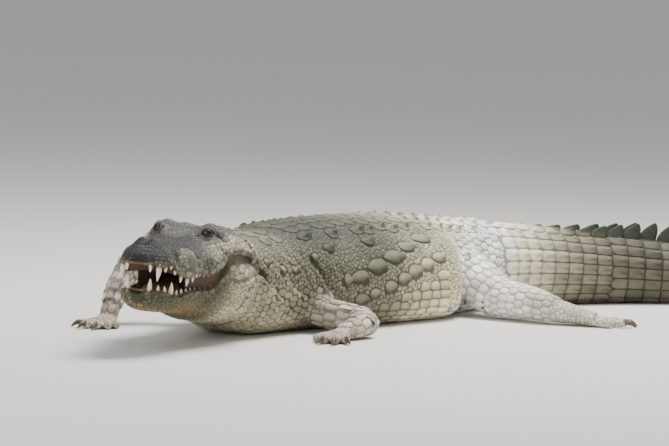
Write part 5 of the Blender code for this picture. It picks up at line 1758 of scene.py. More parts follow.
@dataclass(frozen=True)
class Eye:
    """Eyeball with its iris, slit pupil and cornea, and the two lids round its almond opening."""

    side: int = 1
    radius: float = 0.018
    axis: Point = (0.70, 0.67, 0.25)
    opening: tuple[float, float] = (0.0172, 0.0078)  # half width and half height, in metres
    mound: float = 0.0010  # thickness of the skin over the ball
    # Rim of the lids and two creases round it: how far outside the opening, radius, and height.
    rolls: tuple[Point, ...] = ((0.0010, 0.0024, 0.0002), (0.0052, 0.0030, -0.0010), (0.0100, 0.0022, -0.0030))
    roll_shades: Point = (0.42, 1.30, 1.16)
    iris: float = 0.62  # sine of the iris's edge
    pupil: tuple[float, float] = (0.085, 0.52)  # half width and half height, in radii
    cornea: float = 0.06  # height of its bulge, in radii
    cornea_width: float = 0.55  # spread of its bulge, in radii
    spokes: int = 23  # light and dark lines round the iris

    @property
    def name(self) -> str:
        """left or right."""
        return "left" if self.side > 0 else "right"

    @cached_property
    def frame(self) -> tuple[Array, Array, Array, Array]:
        """Centre, outward axis, and the directions along and above the opening."""
        centre = HEAD.world(np.array(HEAD.eye) * (1, self.side, 1), HEAD.upper_pitch)
        turned = np.array([self.axis, (0.80, -0.58, -0.12), (0.0, 0.0, 1.0)]) * (1, self.side, 1) * 0.01
        ends = HEAD.world(np.array(HEAD.eye) * (1, self.side, 1) + turned, HEAD.upper_pitch) - centre
        axis = unit(ends[0])
        along = unit(ends[1] - axis * dot(ends[1], axis))
        above = np.cross(axis, along)
        return centre, axis, along, above * np.sign(above[2])

    def almond(self, around: Array, grow: float) -> tuple[Array, Array]:
        """Offsets along and above of the opening's edge: pointed at both corners, fuller above."""
        along = (self.opening[0] + grow) * np.cos(around)
        full = np.where(np.sin(around) > 0, 1.08, 0.92)
        above = (self.opening[1] + grow) * full * signed_power(np.sin(around), 1.25)
        return along, above + 0.0008 * np.cos(around)

    def ball(self) -> bpy.types.Object:
        """Sphere about the axis, finer near the pupil, with the cornea's bulge: a bell curve."""
        centre, axis, along, above = self.frame
        tilt = np.pi * np.linspace(0.004, 1, 44)[:, None] ** 1.5 * 0.998
        turn = turns(48)[None]
        bulge = self.radius * self.cornea * bell(np.sin(tilt) / self.cornea_width) * (tilt < 1.5)
        reach = self.radius + bulge
        rings = centre + reach[..., None] * (
            np.cos(tilt)[..., None] * axis
            + (np.sin(tilt) * np.cos(turn))[..., None] * along
            + (np.sin(tilt) * np.sin(turn))[..., None] * above
        )
        made = mesh_object(f"eyeball_{self.name}", loft(rings))
        offset = vertices_of(made.data) - centre
        x, y = dot(offset, along) / self.radius, dot(offset, above) / self.radius
        facing = dot(offset, axis) > 0
        r = np.hypot(x, y)
        wide, high = self.pupil
        slit = (np.abs(x) < wide * np.sqrt(np.clip(1 - (y / high) ** 2, 0, 1))) & facing
        spokes = 0.5 + 0.5 * np.sin(np.arctan2(y, x) * self.spokes + 3 * np.sin(r * 14))
        iris = IRIS * (0.45 + 0.5 * spokes[:, None] * ramp(r, 0.1, 0.5)[:, None])
        white = WHITE * (0.7 + 0.3 * ramp(r, 0.7, 0.9)[:, None])
        colour = np.where(((r < self.iris) & facing)[:, None], iris, white)
        rim = (r > self.iris - 0.05) & (r < self.iris + 0.02) & facing
        colour = np.where(rim[:, None], IRIS_RIM, colour)
        paint(made.data, np.where(slit[:, None], PUPIL, colour))
        return made

    def lids(self) -> bpy.types.Object:
        """Thick rims of both lids and two creases round them: oval profiles along the almond."""
        centre, axis, along, above = self.frame
        around, turn = turns(72), turns(10)
        nets = []
        for grow, thick, rise in self.rolls:
            x, y = self.almond(around, grow)
            y = y + np.where(y > 0, 0.35, 0.15) * grow * np.sign(y)
            fold = thick * (1 + 0.25 * np.sin(around)) * (0.85 + 0.15 * np.cos(around * 17))
            level = np.sqrt(np.maximum((self.radius + rise) ** 2 - x**2 - y**2, (0.35 * self.radius) ** 2))
            path = centre + x[:, None] * along + y[:, None] * above + level[:, None] * axis
            forward = unit(np.roll(path, -1, 0) - np.roll(path, 1, 0))
            outward = unit(path - centre)
            across = np.cross(forward, outward)
            sideways, upwards = np.cos(turn)[None, :, None], np.sin(turn)[None, :, None] * 0.8
            profile = across[:, None] * sideways + outward[:, None] * upwards
            rings = path[:, None] + fold[:, None, None] * profile
            index = np.arange(rings[..., 0].size).reshape(rings.shape[:2])
            after, turned = np.roll(index, -1, 0), np.roll(index, -1, 1)
            faces = np.stack([index, turned, np.roll(after, -1, 1), after], -1).reshape(-1, 4)
            points = rings.reshape(-1, 3)
            way = 1 if outwards(points, faces, np.repeat(path, len(turn), 0)) else -1
            nets.append(Net(points, [faces[:, ::way]]))
        made = mesh_object(f"eyelids_{self.name}", joined(nets))
        spots = vertices_of(made.data)
        shade = np.repeat(np.array(self.roll_shades), len(around) * len(turn))
        colour = MARKINGS.colour(spots) * shade[:, None]
        paint(made.data, blended(colour, LID_EDGE, 0.55 * (shade < 0.5)))
        return made

    def moulded(self, points: Array) -> Array:
        """Raises the skin to a mound over the eyeball and opens the almond in it."""
        centre, axis, along, above = self.frame
        offset = points - centre
        distance = np.linalg.norm(offset, axis=1)
        near = distance < self.radius * 2.2
        direction = unit(offset[near])
        facing = dot(direction, axis)
        x, y = dot(offset[near], along), dot(offset[near], above)
        inside = (x / (self.opening[0] + 0.001)) ** 2 + (y / (self.opening[1] + 0.001)) ** 2 < 1
        hole = inside & (facing > 0)
        cover = self.radius + self.mound
        reach = distance[near]
        upper = ramp(dot(direction, np.array([0.0, 0.0, 1.0])), -0.6, 0.3)
        raised = np.where(facing > -0.1, np.maximum(reach, cover * (0.90 + 0.10 * upper)), reach)
        reach = np.where(hole, self.radius * 0.55, raised)
        result = points.copy()
        result[near] = centre + direction * reach[:, None]
        return result


@dataclass(frozen=True)
class Skin:
    """One skin over neck, trunk, tail, legs, head and the inside of the mouth."""

    voxel: float = 0.004
    softness: float = 0.5  # how far each of the smoothing rounds goes
    soft_rounds: int = 5
    lowest: float = 0.0012  # height over the floor that the skin keeps
    body_share: float = 0.14  # share of the faces that the body keeps under its scales
    groove_shading: float = 0.36  # painted shade: brightness of the skin between the scales
    groove_shading_head: float = 0.04  # how much brighter it is on the head
    groove_shading_limbs: float = 0.25  # how much brighter it is on the legs

    def volumes(self) -> list[Net]:
        """Closed pieces of the animal, which overlap and are made into one."""
        pieces = [BODY.net(-COAT_DEPTH), HEAD.cheek_net()]
        pieces += [HEAD.shell(upper, -HEAD_COAT_DEPTH / SKULL) for upper in (True, False)]
        for limb in LIMBS:
            pieces += limb.nets(-COAT_DEPTH)
        return pieces

    def wrinkles(self, points: Array) -> Array:
        """Slanting rolls of loose skin on the neck and shoulder: a warped sine of place and height."""
        s = BODY.distance(points)
        level = points[:, 2]
        where = ramp(s, 0.05, 0.20) * ramp(s, 1.10, 0.75) * ramp(level, 0.02, 0.07) * ramp(level, 0.27, 0.20)
        phase = (s * SKULL * 0.75 + level * 0.55) / 0.030 + 0.55 * noise(points, 0.06, 41)
        rolls = np.sin(2 * np.pi * phase)
        flank = ramp(s, 1.0, 1.4) * ramp(s, 2.3, 2.0) * ramp(level, 0.24, 0.15)
        waves = np.sin(2 * np.pi * (s * SKULL / 0.052 + 0.6 * noise(points, 0.09, 43)))
        return 0.0026 * rolls * where + 0.0013 * waves * flank + 0.0011 * layered(points, 0.055, 45)

    def build(self) -> bpy.types.Object:
        """Makes the volumes one by a grid of voxels, softens them, adds folds, thins the body's faces."""
        made = mesh_object("skin", joined(self.volumes()))
        grid = made.modifiers.new("grid", "REMESH")
        grid.mode = "VOXEL"
        grid.voxel_size = self.voxel
        soft = made.modifiers.new("soft", "SMOOTH")
        soft.factor = self.softness
        soft.iterations = self.soft_rounds
        settled(made)
        points, normals = vertices_of(made.data), vectors_of(made.data.vertex_normals, "vector")
        offset = creased(points, False) + self.wrinkles(points) * self.off_head(points)
        moved = points + normals * offset[:, None]
        for eye in EYES:
            moved = eye.moulded(moved)
        moved[:, 2] = np.maximum(moved[:, 2], self.lowest)
        moved_to(made.data, moved)
        group = made.vertex_groups.new(name="body")
        chosen = np.flatnonzero(self.off_head(moved) > 0.5)
        group.add(chosen.tolist(), 1.0, "REPLACE")
        thin = made.modifiers.new("thin", "DECIMATE")
        thin.vertex_group = "body"
        thin.vertex_group_factor = 1.0
        thin.ratio = (len(points) - len(chosen) + self.body_share * len(chosen)) / len(points)
        thin.use_collapse_triangulate = True
        settled(made)
        made.vertex_groups.clear()
        made.data.shade_smooth()
        self.dress(made)
        log.info("skin: %d faces", len(made.data.polygons))
        return made

    def off_head(self, points: Array) -> Array:
        """1 away from the head, 0 on it."""
        local = HEAD.local(points, HEAD.middle_pitch)
        return 1 - ramp(local[:, 0], -0.06, 0.02) * (np.abs(local[:, 1]) < 0.42)

    def dress(self, made: bpy.types.Object) -> None:
        """Paints the markings, painted shade between the scales and in the bare folds, and the lining of the
        mouth.
        """
        points = vertices_of(made.data)
        inner, lining = MARKINGS.mouth(points)
        pale = np.max([MARKINGS.limb_weight(points, limb)[0] for limb in LIMBS], 0)
        # Painted shade: the skin between the scales is darker, less on the head and legs, hardly at all round
        # the eyes and in bare folds.
        groove_shading = self.groove_shading + self.groove_shading_head * (1 - self.off_head(points)) + self.groove_shading_limbs * pale
        eyes = [HEAD.world(np.array(HEAD.eye) * (1, side, 1), HEAD.upper_pitch) for side in (1, -1)]
        near = np.min([np.linalg.norm(points - eye, axis=1) for eye in eyes], 0)
        groove_shading = np.maximum(groove_shading, 0.95 * np.maximum(ramp(near, 0.034, 0.026), bared(points)))
        shade = 1 - FOLD_SHADE * ramp(creased(points, True), -0.001, -0.009)
        colour = MARKINGS.colour(points) * (groove_shading * shade)[:, None]
        paint(made.data, blended(colour, lining, inner))
        made.data.materials.append(HIDE.material())


EYES = (Eye(1), Eye(-1))


# ---------------------------------------------------------------- mouth, claws and crest
CROWN, STAINED_ROOT, REAR_TOOTH = ink(230, 221, 196), ink(150, 128, 96), ink(116, 98, 74)
GUM_SHADE, GUM_FLESH = ink(70, 56, 46), ink(112, 90, 72)


@dataclass(frozen=True)
class Jaw:
    """Teeth of one jaw with the gum round each, on both sides."""

    name: str
    pitch: float
    half_width: Table
    rim: Table
    start: float
    tip: float
    count: int
    inset: float
    direction: int  # -1 points down, 1 up
    lengths: Table  # of the teeth, by their share of the way from the rear to the midline
    # Levels of a tooth's rings, as shares of its length, and how thick it is there.
    profile: Table = (
        (-0.30, 0.90), (-0.05, 1.0), (0.18, 0.97), (0.42, 0.83), (0.64, 0.62), (0.82, 0.38), (0.94, 0.17),
        (0.995, 0.05),
    )  # fmt: skip

    tooth_girth: tuple[float, float] = (0.0055, 0.145)  # smallest radius, and how it grows with the length
    flutes: int = 7
    flute_depth: float = 0.035
    uneven: float = 0.10  # share by which the teeth differ in length and in tilt

    def sockets(self) -> tuple[Array, Array, Array]:
        """Places evenly along the rim from the rear to the midline.

        Returns:
            the share of the way along the rim, the place and the outward direction of each tooth.
        """
        x = np.linspace(self.start, self.tip, 600)
        half = smooth(x, self.half_width) - self.inset
        length = np.concatenate([[0], np.cumsum(np.hypot(np.diff(x), np.diff(half)))])
        share = (np.arange(self.count) + 0.5) / self.count
        at = share * length[-1]
        place, side = np.interp(at, length, x), np.interp(at, length, half)
        outward = np.stack([np.gradient(-half, length), np.gradient(x, length)], -1)
        return share, np.stack([place, side, smooth(place, self.rim)], -1), traced(at, length, outward)

    def teeth(self) -> bpy.types.Object:
        """Slightly curved cones with fine flutes, blunt at the tip; each a stack of rings."""
        share, places, lean = self.sockets()
        length = smooth(share, self.lengths)
        dice = np.random.default_rng(SEED + self.count)
        nets = []
        level, girth = (column[:, None] for column in np.array(self.profile).T)
        turn, (least, growth) = turns(14), self.tooth_girth
        fluted = (1 + self.flute_depth * np.cos(self.flutes * turn))[None]
        for mirror in (1, -1):
            tall = length * (1 + self.uneven * dice.uniform(-1, 1, self.count))
            tilt = self.uneven * dice.uniform(-1, 1, (self.count, 2))
            for place, out, tooth, wobble in zip(places, lean, tall, tilt):
                curve = out * (1, mirror) * (0.20 * level - 0.16 * level**2) + wobble * level
                centre = place * (1, mirror, 1) + np.concatenate([curve, self.direction * level], 1) * tooth
                wide = (least + growth * tooth) * girth * fluted
                ring = np.stack([wide * np.cos(turn), wide * np.sin(turn) * 0.9, 0 * wide], -1)
                nets.append(loft(HEAD.world(centre[:, None] + ring, self.pitch)))
        made = mesh_object(f"teeth_{self.name}", joined(nets))
        local = HEAD.local(vertices_of(made.data), self.pitch)
        height = self.direction * (local[:, 2] - smooth(local[:, 0], self.rim))
        colour = blended(CROWN, STAINED_ROOT, 0.8 * ramp(height, 0.016, 0.0))
        paint(made.data, blended(colour, REAR_TOOTH, 0.85 * ramp(local[:, 0], 0.66, 0.54)))
        made.data.materials.append(IVORY.material())
        return made

    def gums(self) -> bpy.types.Object:
        """Wavy roll of gum along the inside of the rim, with a collar swollen round every tooth."""
        share, places, lean = self.sockets()
        length = smooth(share, self.lengths)
        knots = np.concatenate([places, (places * (1, -1, 1))[::-1]])
        count = 12 * (len(knots) - 1) + 1
        fine, t = np.linspace(0, len(knots) - 1, count), np.arange(len(knots))
        path = traced(fine, t, knots)
        side = unit(traced(fine, t, np.concatenate([lean, (lean * (1, -1))[::-1]])))
        tooth = np.interp(fine, t, np.concatenate([length, length[::-1]]))
        swell = 0.5 + 0.5 * np.cos(2 * np.pi * fine)
        turn = turns(12)
        wide = (0.007 + 0.07 * tooth + 0.003 * swell)[:, None]
        tall = (0.007 + 0.10 * tooth * swell)[:, None]
        x = -np.cos(turn)[None] * wide
        z = np.sin(turn)[None] * tall * self.direction
        ends = np.minimum(1.0, np.minimum(np.arange(count), np.arange(count)[::-1]) / 8 + 0.15)[:, None]
        path[:, 2] -= 0.006 * self.direction
        x, z = (x * ends)[..., None], (z * ends)[..., None]
        ring = path[:, None] + np.concatenate([side[:, None] * x, z], -1)
        made = mesh_object(f"gums_{self.name}", loft(HEAD.world(ring, self.pitch)))
        spots = vertices_of(made.data)
        warm = ramp(noise(spots, 0.012, 61), -0.4, 0.6)
        paint(made.data, blended(GUM_SHADE, GUM_FLESH, warm))
        made.data.materials.append(LINING.material())
        return made


JAWS = (
    Jaw("upper", HEAD.upper_pitch, HEAD.lip_half_width, HEAD.lip_height, 0.42, 1.056, 14, 0.016, -1, (
        (0.0, 0.012), (0.3, 0.015), (0.44, 0.032), (0.54, 0.050), (0.6, 0.034), (0.68, 0.022),
        (0.76, 0.026), (0.83, 0.034), (0.893, 0.068), (0.95, 0.044), (1.0, 0.038),
    )),
    Jaw("lower", HEAD.lower_pitch, HEAD.jaw_half_width, HEAD.jaw_rim, 0.44, 1.034, 12, 0.028, 1, (
        (0.0, 0.011), (0.42, 0.015), (0.56, 0.028), (0.64, 0.032), (0.705, 0.074), (0.77, 0.034), (0.88, 0.03),
        (0.94, 0.062), (1.0, 0.072),
    )),
)  # fmt: skip


@dataclass(frozen=True)
class Tongue:
    """Broad low pad grown to the floor of the mouth, with a furrow along its middle."""

    back: float = 0.18
    front: float = 0.80
    thickness: float = 0.036
    share: float = 0.62  # of the jaw's half width
    sunk: float = 0.010  # how far under the jaw's rim its middle lies
    furrow: tuple[float, float] = (0.010, 0.020)  # depth and width
    ripple: float = 0.0022

    def build(self) -> bpy.types.Object:
        """Oval sections that swell along the tongue, furrowed and pebbled on top."""
        share = np.linspace(0, 1, 46)[:, None]
        forward = self.back + (self.front - self.back) * share
        half = self.share * smooth(forward, HEAD.jaw_half_width) * np.sin(np.pi * (0.13 + 0.75 * share)) ** 0.4
        middle = smooth(forward, HEAD.jaw_rim) - self.sunk
        around = turns(40)[None]
        side = half * signed_power(np.sin(around), 0.8)
        top = self.thickness * np.sin(np.pi * (0.10 + 0.8 * share)) ** 0.5
        up = middle + top * signed_power(np.cos(around), 0.7)
        depth, width = self.furrow
        furrow = depth * bell(side / width) * (np.cos(around) > 0)
        ripple = self.ripple * np.sin(forward * 95 + 5 * np.cos(side * 30)) * (np.cos(around) > 0)
        ring = np.stack([forward + 0 * side, side, up - furrow + ripple], -1)
        made = mesh_object("tongue_pad", loft(HEAD.world(ring, HEAD.lower_pitch)))
        made.data.materials.append(TONGUE_FINISH.material())
        return made


@dataclass(frozen=True)
class Claws:
    """Claws of one leg: curved, ridged and blunt, their roots sunk in the ends of the digits."""

    limb: Limb
    length: float = 0.075
    root: float = 0.006  # how far before the digit's end the claw starts
    girth: Table = ((0.0, 0.0175), (0.35, 0.0165), (0.7, 0.011), (0.95, 0.0040), (1.0, 0.0015))
    arch: float = 0.012
    tip_height: float = 0.006

    def claw(self, tube: Tube) -> Net:
        """One claw: oval rings along an arched path that ends at the floor."""
        start, tip = (np.array(point) for point in tube.path)
        out = unit(np.array([*(tip - start)[:2], 0.0]))
        t = np.linspace(0, 1, 22)[:, None]
        path = tip + out * (-self.root + (self.length + self.root) * t)
        share = t[:, 0]
        path[:, 2] = (tip[2] + 0.003) * (1 - share) + self.tip_height * share
        path[:, 2] += self.arch * np.sin(np.pi * share)
        forward = unit(np.gradient(path, axis=0))
        across = unit(np.cross(forward, (0.0, 0.0, 1.0)))
        up = np.cross(across, forward)
        turn = turns(20)[None]
        wide = smooth(t, self.girth) * (1 + 0.05 * np.cos(3 * turn) + 0.02 * np.sin(t * 60))
        flat = np.where(np.cos(turn) < 0, 0.72, 1.1)
        ring = path[:, None] + across[:, None] * (wide * np.sin(turn) * 0.82)[..., None]
        ring = ring + up[:, None] * (wide * np.cos(turn) * flat)[..., None]
        return loft(grounded(ring, 0.0006) * SKULL - ORIGIN)

    def build(self) -> list[tuple[bpy.types.Object, str]]:
        """A claw on each clawed digit, in order, with the node that it stands for."""
        made = []
        horn = CLAW_HORN.material()
        for number, (tube, clawed) in enumerate(self.limb.digit_tubes(), start=1):
            if clawed:
                place = f"{self.limb.nodes[2]}_{self.limb.side}_{number}"
                piece = mesh_object(f"talon_{place}", self.claw(tube))
                piece.data.materials.append(horn)
                made.append((piece, f"claw_{place}"))
        return made


@dataclass(frozen=True)
class Crest:
    """Upright scutes of the tail: two rows that join into one, each a keeled leaf leaning back."""

    # Start and end of each stretch, scutes in a row, and the sides of its rows.
    stretches: tuple[tuple[float, float, int, tuple[int, ...]], ...] = (
        (2.75, 3.93, 10, (-1, 1)),
        (3.93, 6.15, 19, (0,)),
    )
    height: Table = (
        (2.7, 0.015), (3.0, 0.022), (3.35, 0.036), (3.6, 0.058), (3.8, 0.082), (4.0, 0.104), (4.6, 0.122),
        (5.2, 0.125), (5.8, 0.09), (6.2, 0.045),
    )  # fmt: skip
    spread: Table = ((2.7, 0.13), (3.3, 0.115), (3.7, 0.060), (3.93, 0.022))  # of the two rows
    levels: tuple[float, ...] = (-0.30, -0.05, 0.10, 0.26, 0.42, 0.58, 0.74, 0.87, 0.96, 1.0)

    def scute(self, middle: float, pitch: float, side: float) -> Net:
        """One scute: a leaf-shaped section that narrows and leans back as it rises.

        The level v goes from the foot to the tip; the leaf's half length is a half of
        (1 - v^2)^0.8, it leans back by v^1.25, and ribs fan over its faces.

        Args:
            middle: its place along the body.
            pitch: room that it has there.
            side: distance to the left of the middle line.
        Returns:
            the closed net.
        """
        half = SKULL * float(smooth(middle, BODY.half_width))
        around = np.arcsin(np.clip(side * SKULL / half, -0.9, 0.9))
        front, back = BODY.raw(middle + np.array([-0.47, 0.47]) * pitch, around)
        along = back - front
        across = unit(np.array([along[1], -along[0], 0.0]))
        tall = SKULL * float(smooth(middle, self.height))
        v, turn = np.array(self.levels)[:, None], turns(18)[None]
        level = np.clip(v, 0, 1)
        reach = 0.5 * (1 - level**2.0) ** 0.8 + 0.02
        thick = 0.17 * pitch * SKULL * (1 - 0.80 * level**0.7) + 0.0012
        x = signed_power(np.cos(turn), 0.9) * reach
        rib = 1 + 0.10 * np.cos(9 * (x - 0.5) / (level + 0.4)) * (level > 0.02)
        y = signed_power(np.sin(turn), 0.8) * thick * rib
        lean = 0.46 * level**1.25 - 0.02
        points = (front + back) / 2 + along * (x + lean)[..., None] + across * y[..., None]
        points[..., 2] += (tall * v) + 0 * x
        return loft(points)

    def build(self) -> bpy.types.Object:
        """All scutes as one piece, dark green-black towards their edges."""
        nets = []
        for first, last, count, sides in self.stretches:
            pitch = (last - first) / count
            for middle in first + (np.arange(count) + 0.5) * pitch:
                spread = float(smooth(middle, self.spread))
                nets += [self.scute(middle, pitch, spread * side) for side in sides]
        made = mesh_object("tail_crest", joined(nets))
        spots = vertices_of(made.data)
        s = BODY.distance(spots)
        over = (spots[:, 2] - SKULL * smooth(s, BODY.back_height)) / (SKULL * smooth(s, self.height))
        dark = ramp(over + 0.2 * noise(spots, 0.02, 71), -0.45, 0.10) * ramp(s, 2.75, 3.6)
        dark = np.maximum(dark, 0.35 * ramp(over, 0.1, 0.8))
        paint(made.data, blended(MARKINGS.colour(spots), ink(50, 58, 46), 0.92 * dark))
        made.data.materials.append(CREST_HIDE.material())
        return made


# ---------------------------------------------------------------- where the scales grow
def lines(kind: Scale, along: Span, share: Span, pitch: float, columns: int, **more: float) -> Patch:
    """Patch of straight lines of scales, as many on each side as there are columns."""
    return Patch(kind, along, share, pitch, columns=columns, stagger=False, **more)


# Patches that come first keep their scales where two of them meet.
BODY_PATCHES = (
    # Shields of the nape and the neck, four rows of the back, and the rows beside them.
    lines(Scale.SCUTE, (0.12, 0.19), (0.03, 0.26), 0.030, 2, jitter=0.04, swell=0.7),
    lines(Scale.SCUTE, (0.36, 0.60), (0.02, 0.24), 0.058, 2, jitter=0.04, swell=0.8),
    lines(Scale.SCUTE, (0.74, 1.88), (0.0, 0.17), 0.055, 2, jitter=0.08, relief=0.8,
          vary=0.08),
    lines(Scale.SCUTE, (1.88, 2.78), (0.0, 0.17), 0.058, 2, jitter=0.06, relief=1.5,
          vary=0.08),
    lines(Scale.SCUTE, (0.70, 2.70), (0.182, 0.255), 0.062, 1, jitter=0.14, relief=2.0,
          swell=0.85, keep=0.85, vary=0.15),
    # Ovals of the flank, plates of the belly, scales of the throat and the neck.
    lines(Scale.OVAL, (0.84, 1.60), (0.255, 0.345), 0.100, 1, jitter=0.12, keep=0.8,
          swell=0.66, long=0.95, relief=1.2, vary=0.15),
    lines(Scale.OVAL, (0.94, 1.90), (0.445, 0.535), 0.084, 1, jitter=0.08, keep=0.95,
          swell=0.80, long=1.22, relief=0.75, rise=-0.23, vary=0.15),
    lines(Scale.OVAL, (1.03, 1.95), (0.550, 0.625), 0.064, 1, jitter=0.06, keep=0.97,
          swell=0.84, long=1.12, relief=0.75, rise=-0.22, vary=0.12),
    Patch(Scale.PLATE, (0.86, 2.55), (0.680, 1.10), 0.048, 0.0265, jitter=0.11, rise=-0.22, vary=0.12,
          relief=1.3, swell=1.1),
    Patch(Scale.PLATE, (0.70, 2.70), (0.78, 1.0), 0.042, 0.032, jitter=0.03, stagger=False),
    Patch(Scale.THROAT, (0.08, 0.85), (0.52, 1.0), 0.027, 0.021, jitter=0.10, vary=0.1),
    lines(Scale.OVAL, (0.16, 0.78), (0.30, 0.44), 0.070, 1, jitter=0.3, swell=0.42),
    Patch(Scale.PLATE, (2.30, 2.72), (0.26, 0.86), 0.030, 0.026, jitter=0.12),
    # Whorls of the tail, keeled above.
    *(lines(kind, along, share, pitch, columns, jitter=0.02)
      for kind, along, share, pitch, columns in (
          (Scale.WHORL_KEELED, (2.70, 3.70), (0.17, 0.815), 0.0588, 7),
          (Scale.WHORL, (2.70, 3.70), (0.815, 1.0), 0.0588, 2),
          (Scale.WHORL_KEELED, (3.70, 4.29), (0.12, 0.56), 0.0588, 4),
          (Scale.WHORL, (3.70, 4.29), (0.56, 1.0), 0.0588, 4),
          (Scale.WHORL_KEELED, (4.29, 4.75), (0.10, 0.485), 0.0588, 3),
          (Scale.WHORL, (4.29, 4.75), (0.485, 1.0), 0.0588, 4),
          (Scale.WHORL, (4.75, 5.60), (0.10, 1.0), 0.054, 5),
          (Scale.WHORL, (5.60, 6.28), (0.10, 1.0), 0.048, 4),
      )),
    # Strip between the crests, and grains wherever room is left.
    Patch(Scale.PLATE, (2.70, 3.70), (0.0, 0.11), 0.0294, 0.024, jitter=0.05),
    Patch(Scale.GRAIN, (0.03, 0.75), (0.0, 0.56), 0.0140, 0.0125, jitter=0.30, vary=0.25),
    Patch(Scale.GRAIN, (0.75, 2.75), (0.0, 0.62), 0.0135, 0.0120, jitter=0.30, vary=0.30),
)  # fmt: skip
ROOF_PATCHES = (
    Patch(Scale.LABIAL, (0.10, 1.05), (0.925, 1.0), 0.020, columns=1, jitter=0.10),
    Patch(Scale.CRACKED, (-0.05, 0.32), (0.0, 0.50), 0.019, 0.018, jitter=0.25, vary=0.2),
    Patch(Scale.CRACKED, (0.32, 0.80), (0.0, 0.93), 0.0135, 0.0130, jitter=0.30, vary=0.25),
    Patch(Scale.CRACKED, (-0.05, 0.34), (0.48, 0.93), 0.0150, 0.0140, jitter=0.30, vary=0.25),
    Patch(Scale.CRACKED, (0.80, 1.06), (0.0, 0.93), 0.0110, 0.0105, jitter=0.30, vary=0.25),
)  # fmt: skip
CHIN_PATCHES = (
    Patch(Scale.LABIAL, (0.14, 1.03), (0.93, 1.0), 0.019, columns=1, jitter=0.10),
    Patch(Scale.CRACKED, (0.30, 1.04), (0.45, 0.94), 0.0120, 0.0115, jitter=0.30, vary=0.25),
    Patch(Scale.CRACKED, (-0.06, 0.30), (0.60, 0.94), 0.0130, 0.0120, jitter=0.30, vary=0.25),
    Patch(Scale.THROAT, (-0.06, 0.30), (0.0, 0.60), 0.0200, 0.0170, jitter=0.20, vary=0.15),
    Patch(Scale.CRACKED, (0.30, 1.04), (0.0, 0.45), 0.0150, 0.0140, jitter=0.25, vary=0.2),
)  # fmt: skip


WHOLE = (0.0, 1.0)  # all round
# Pitch and width of the plates on the upper and the lower length of a leg and of an arm.
LEG_SCALES = ((0.034, 0.029), (0.028, 0.025))
ARM_SCALES = ((0.042, 0.030), (0.034, 0.026))
# Pieces of the body's coat, each with its start and end behind the skull, in SKULL.
BODY_CUTS = (("neck", -0.1, 1.0), ("trunk", 1.0, 1.95), ("rump", 1.95, 2.9), ("tail", 2.9, 6.4))
SHORTEST_PATCH = 0.02  # a patch that a cut leaves shorter than this is dropped


def limb_grounds(limb: Limb, left: float, low: float) -> list[Ground]:
    """Grounds of one leg: its two lengths, its foot and its digits, side by side on the chart.

    Args:
        limb: the leg.
        left: left edge of its part of the chart.
        low: low edge.
    Returns:
        the grounds.
    """
    name = f"scales_{limb.name}"
    upper, lower, palm = limb.tubes()
    made = []
    for number, (tube, size) in enumerate(zip((upper, lower), LEG_SCALES if limb.webbed else ARM_SCALES)):
        reach = (-0.02, tube.knots[-1] + tube.rounding * tube.girths[-1][0] * 0.6)
        patches = (
            Patch(Scale.PLATE, reach, WHOLE, *size, jitter=0.08, vary=0.08, relief=0.3),
            Patch(Scale.GRAIN, reach, WHOLE, 0.0125, 0.0115, jitter=0.3, vary=0.2),
        )
        span = (-0.1, tube.knots[-1] + 0.2)
        made.append(Ground(name, tube, patches, (left + 0.045 * number, low, 0.04, 0.18), span, reach=0.016))
    reach = (-0.03, palm.knots[-1] + palm.rounding * palm.girths[-1][0] * 0.8)
    patches = (Patch(Scale.GRAIN, reach, WHOLE, 0.0125, 0.0115, jitter=0.25, vary=0.2),)
    made.append(Ground(name, palm, patches, (left + 0.09, low, 0.03, 0.08), (-0.1, 0.4), reach=0.008))
    for number, (tube, _) in enumerate(limb.digit_tubes()):
        end = tube.knots[-1] + 0.02
        patches = (
            Patch(Scale.BAND, (0.04, end), (0.0, 0.9), 0.0125, columns=2, jitter=0.03),
            Patch(Scale.GRAIN, (0.0, end), WHOLE, 0.0090, 0.0085, jitter=0.2, vary=0.2),
        )
        chart = (left + 0.125 + 0.014 * number, low, 0.012, 0.10)
        made.append(Ground(name, tube, patches, chart, (-0.05, 0.45), reach=0.007))
    return made


def grounds() -> tuple[Ground, ...]:
    """All grounds: the body's lengths, both jaws and the four legs."""
    made = []
    for name, start, end in BODY_CUTS:
        ends = [(max(patch.along[0], start), min(patch.along[1], end)) for patch in BODY_PATCHES]
        cut = [replace(patch, along=along) for patch, along in zip(BODY_PATCHES, ends)]
        patches = tuple(patch for patch in cut if patch.along[1] - patch.along[0] > SHORTEST_PATCH)
        made.append(Ground(f"scales_{name}", BODY, patches, (0.02, 0.02, 0.34, 0.94), (-0.1, BODY_LENGTH)))
    made.append(Ground("scales_head", ROOF, ROOF_PATCHES, (0.40, 0.52, 0.26, 0.40), (-0.08, 1.08), True))
    made.append(Ground("scales_jaw", CHIN, CHIN_PATCHES, (0.70, 0.52, 0.26, 0.40), (-0.08, 1.08), True))
    for number, limb in enumerate(LIMBS):
        made += limb_grounds(limb, 0.40 + 0.29 * (number % 2), 0.04 + 0.24 * (number // 2))
    return tuple(made)


# ---------------------------------------------------------------- studio
@dataclass(frozen=True)
class Lamp:
    """Square area lamp that faces a point."""

    name: str
    place: Point
    aim: Point
    size: float  # edge in metres
    power: float  # watts
    colour: Colour

    def build(self) -> bpy.types.Object:
        """Hangs the lamp."""
        data = bpy.data.lights.new(self.name, "AREA")
        data.size = self.size
        data.energy = self.power
        data.color = self.colour
        made = bpy.data.objects.new(self.name, data)
        made.location = self.place
        made.rotation_euler = (Vector(self.aim) - Vector(self.place)).to_track_quat("-Z", "Y").to_euler()
        bpy.context.scene.collection.objects.link(made)
        return made


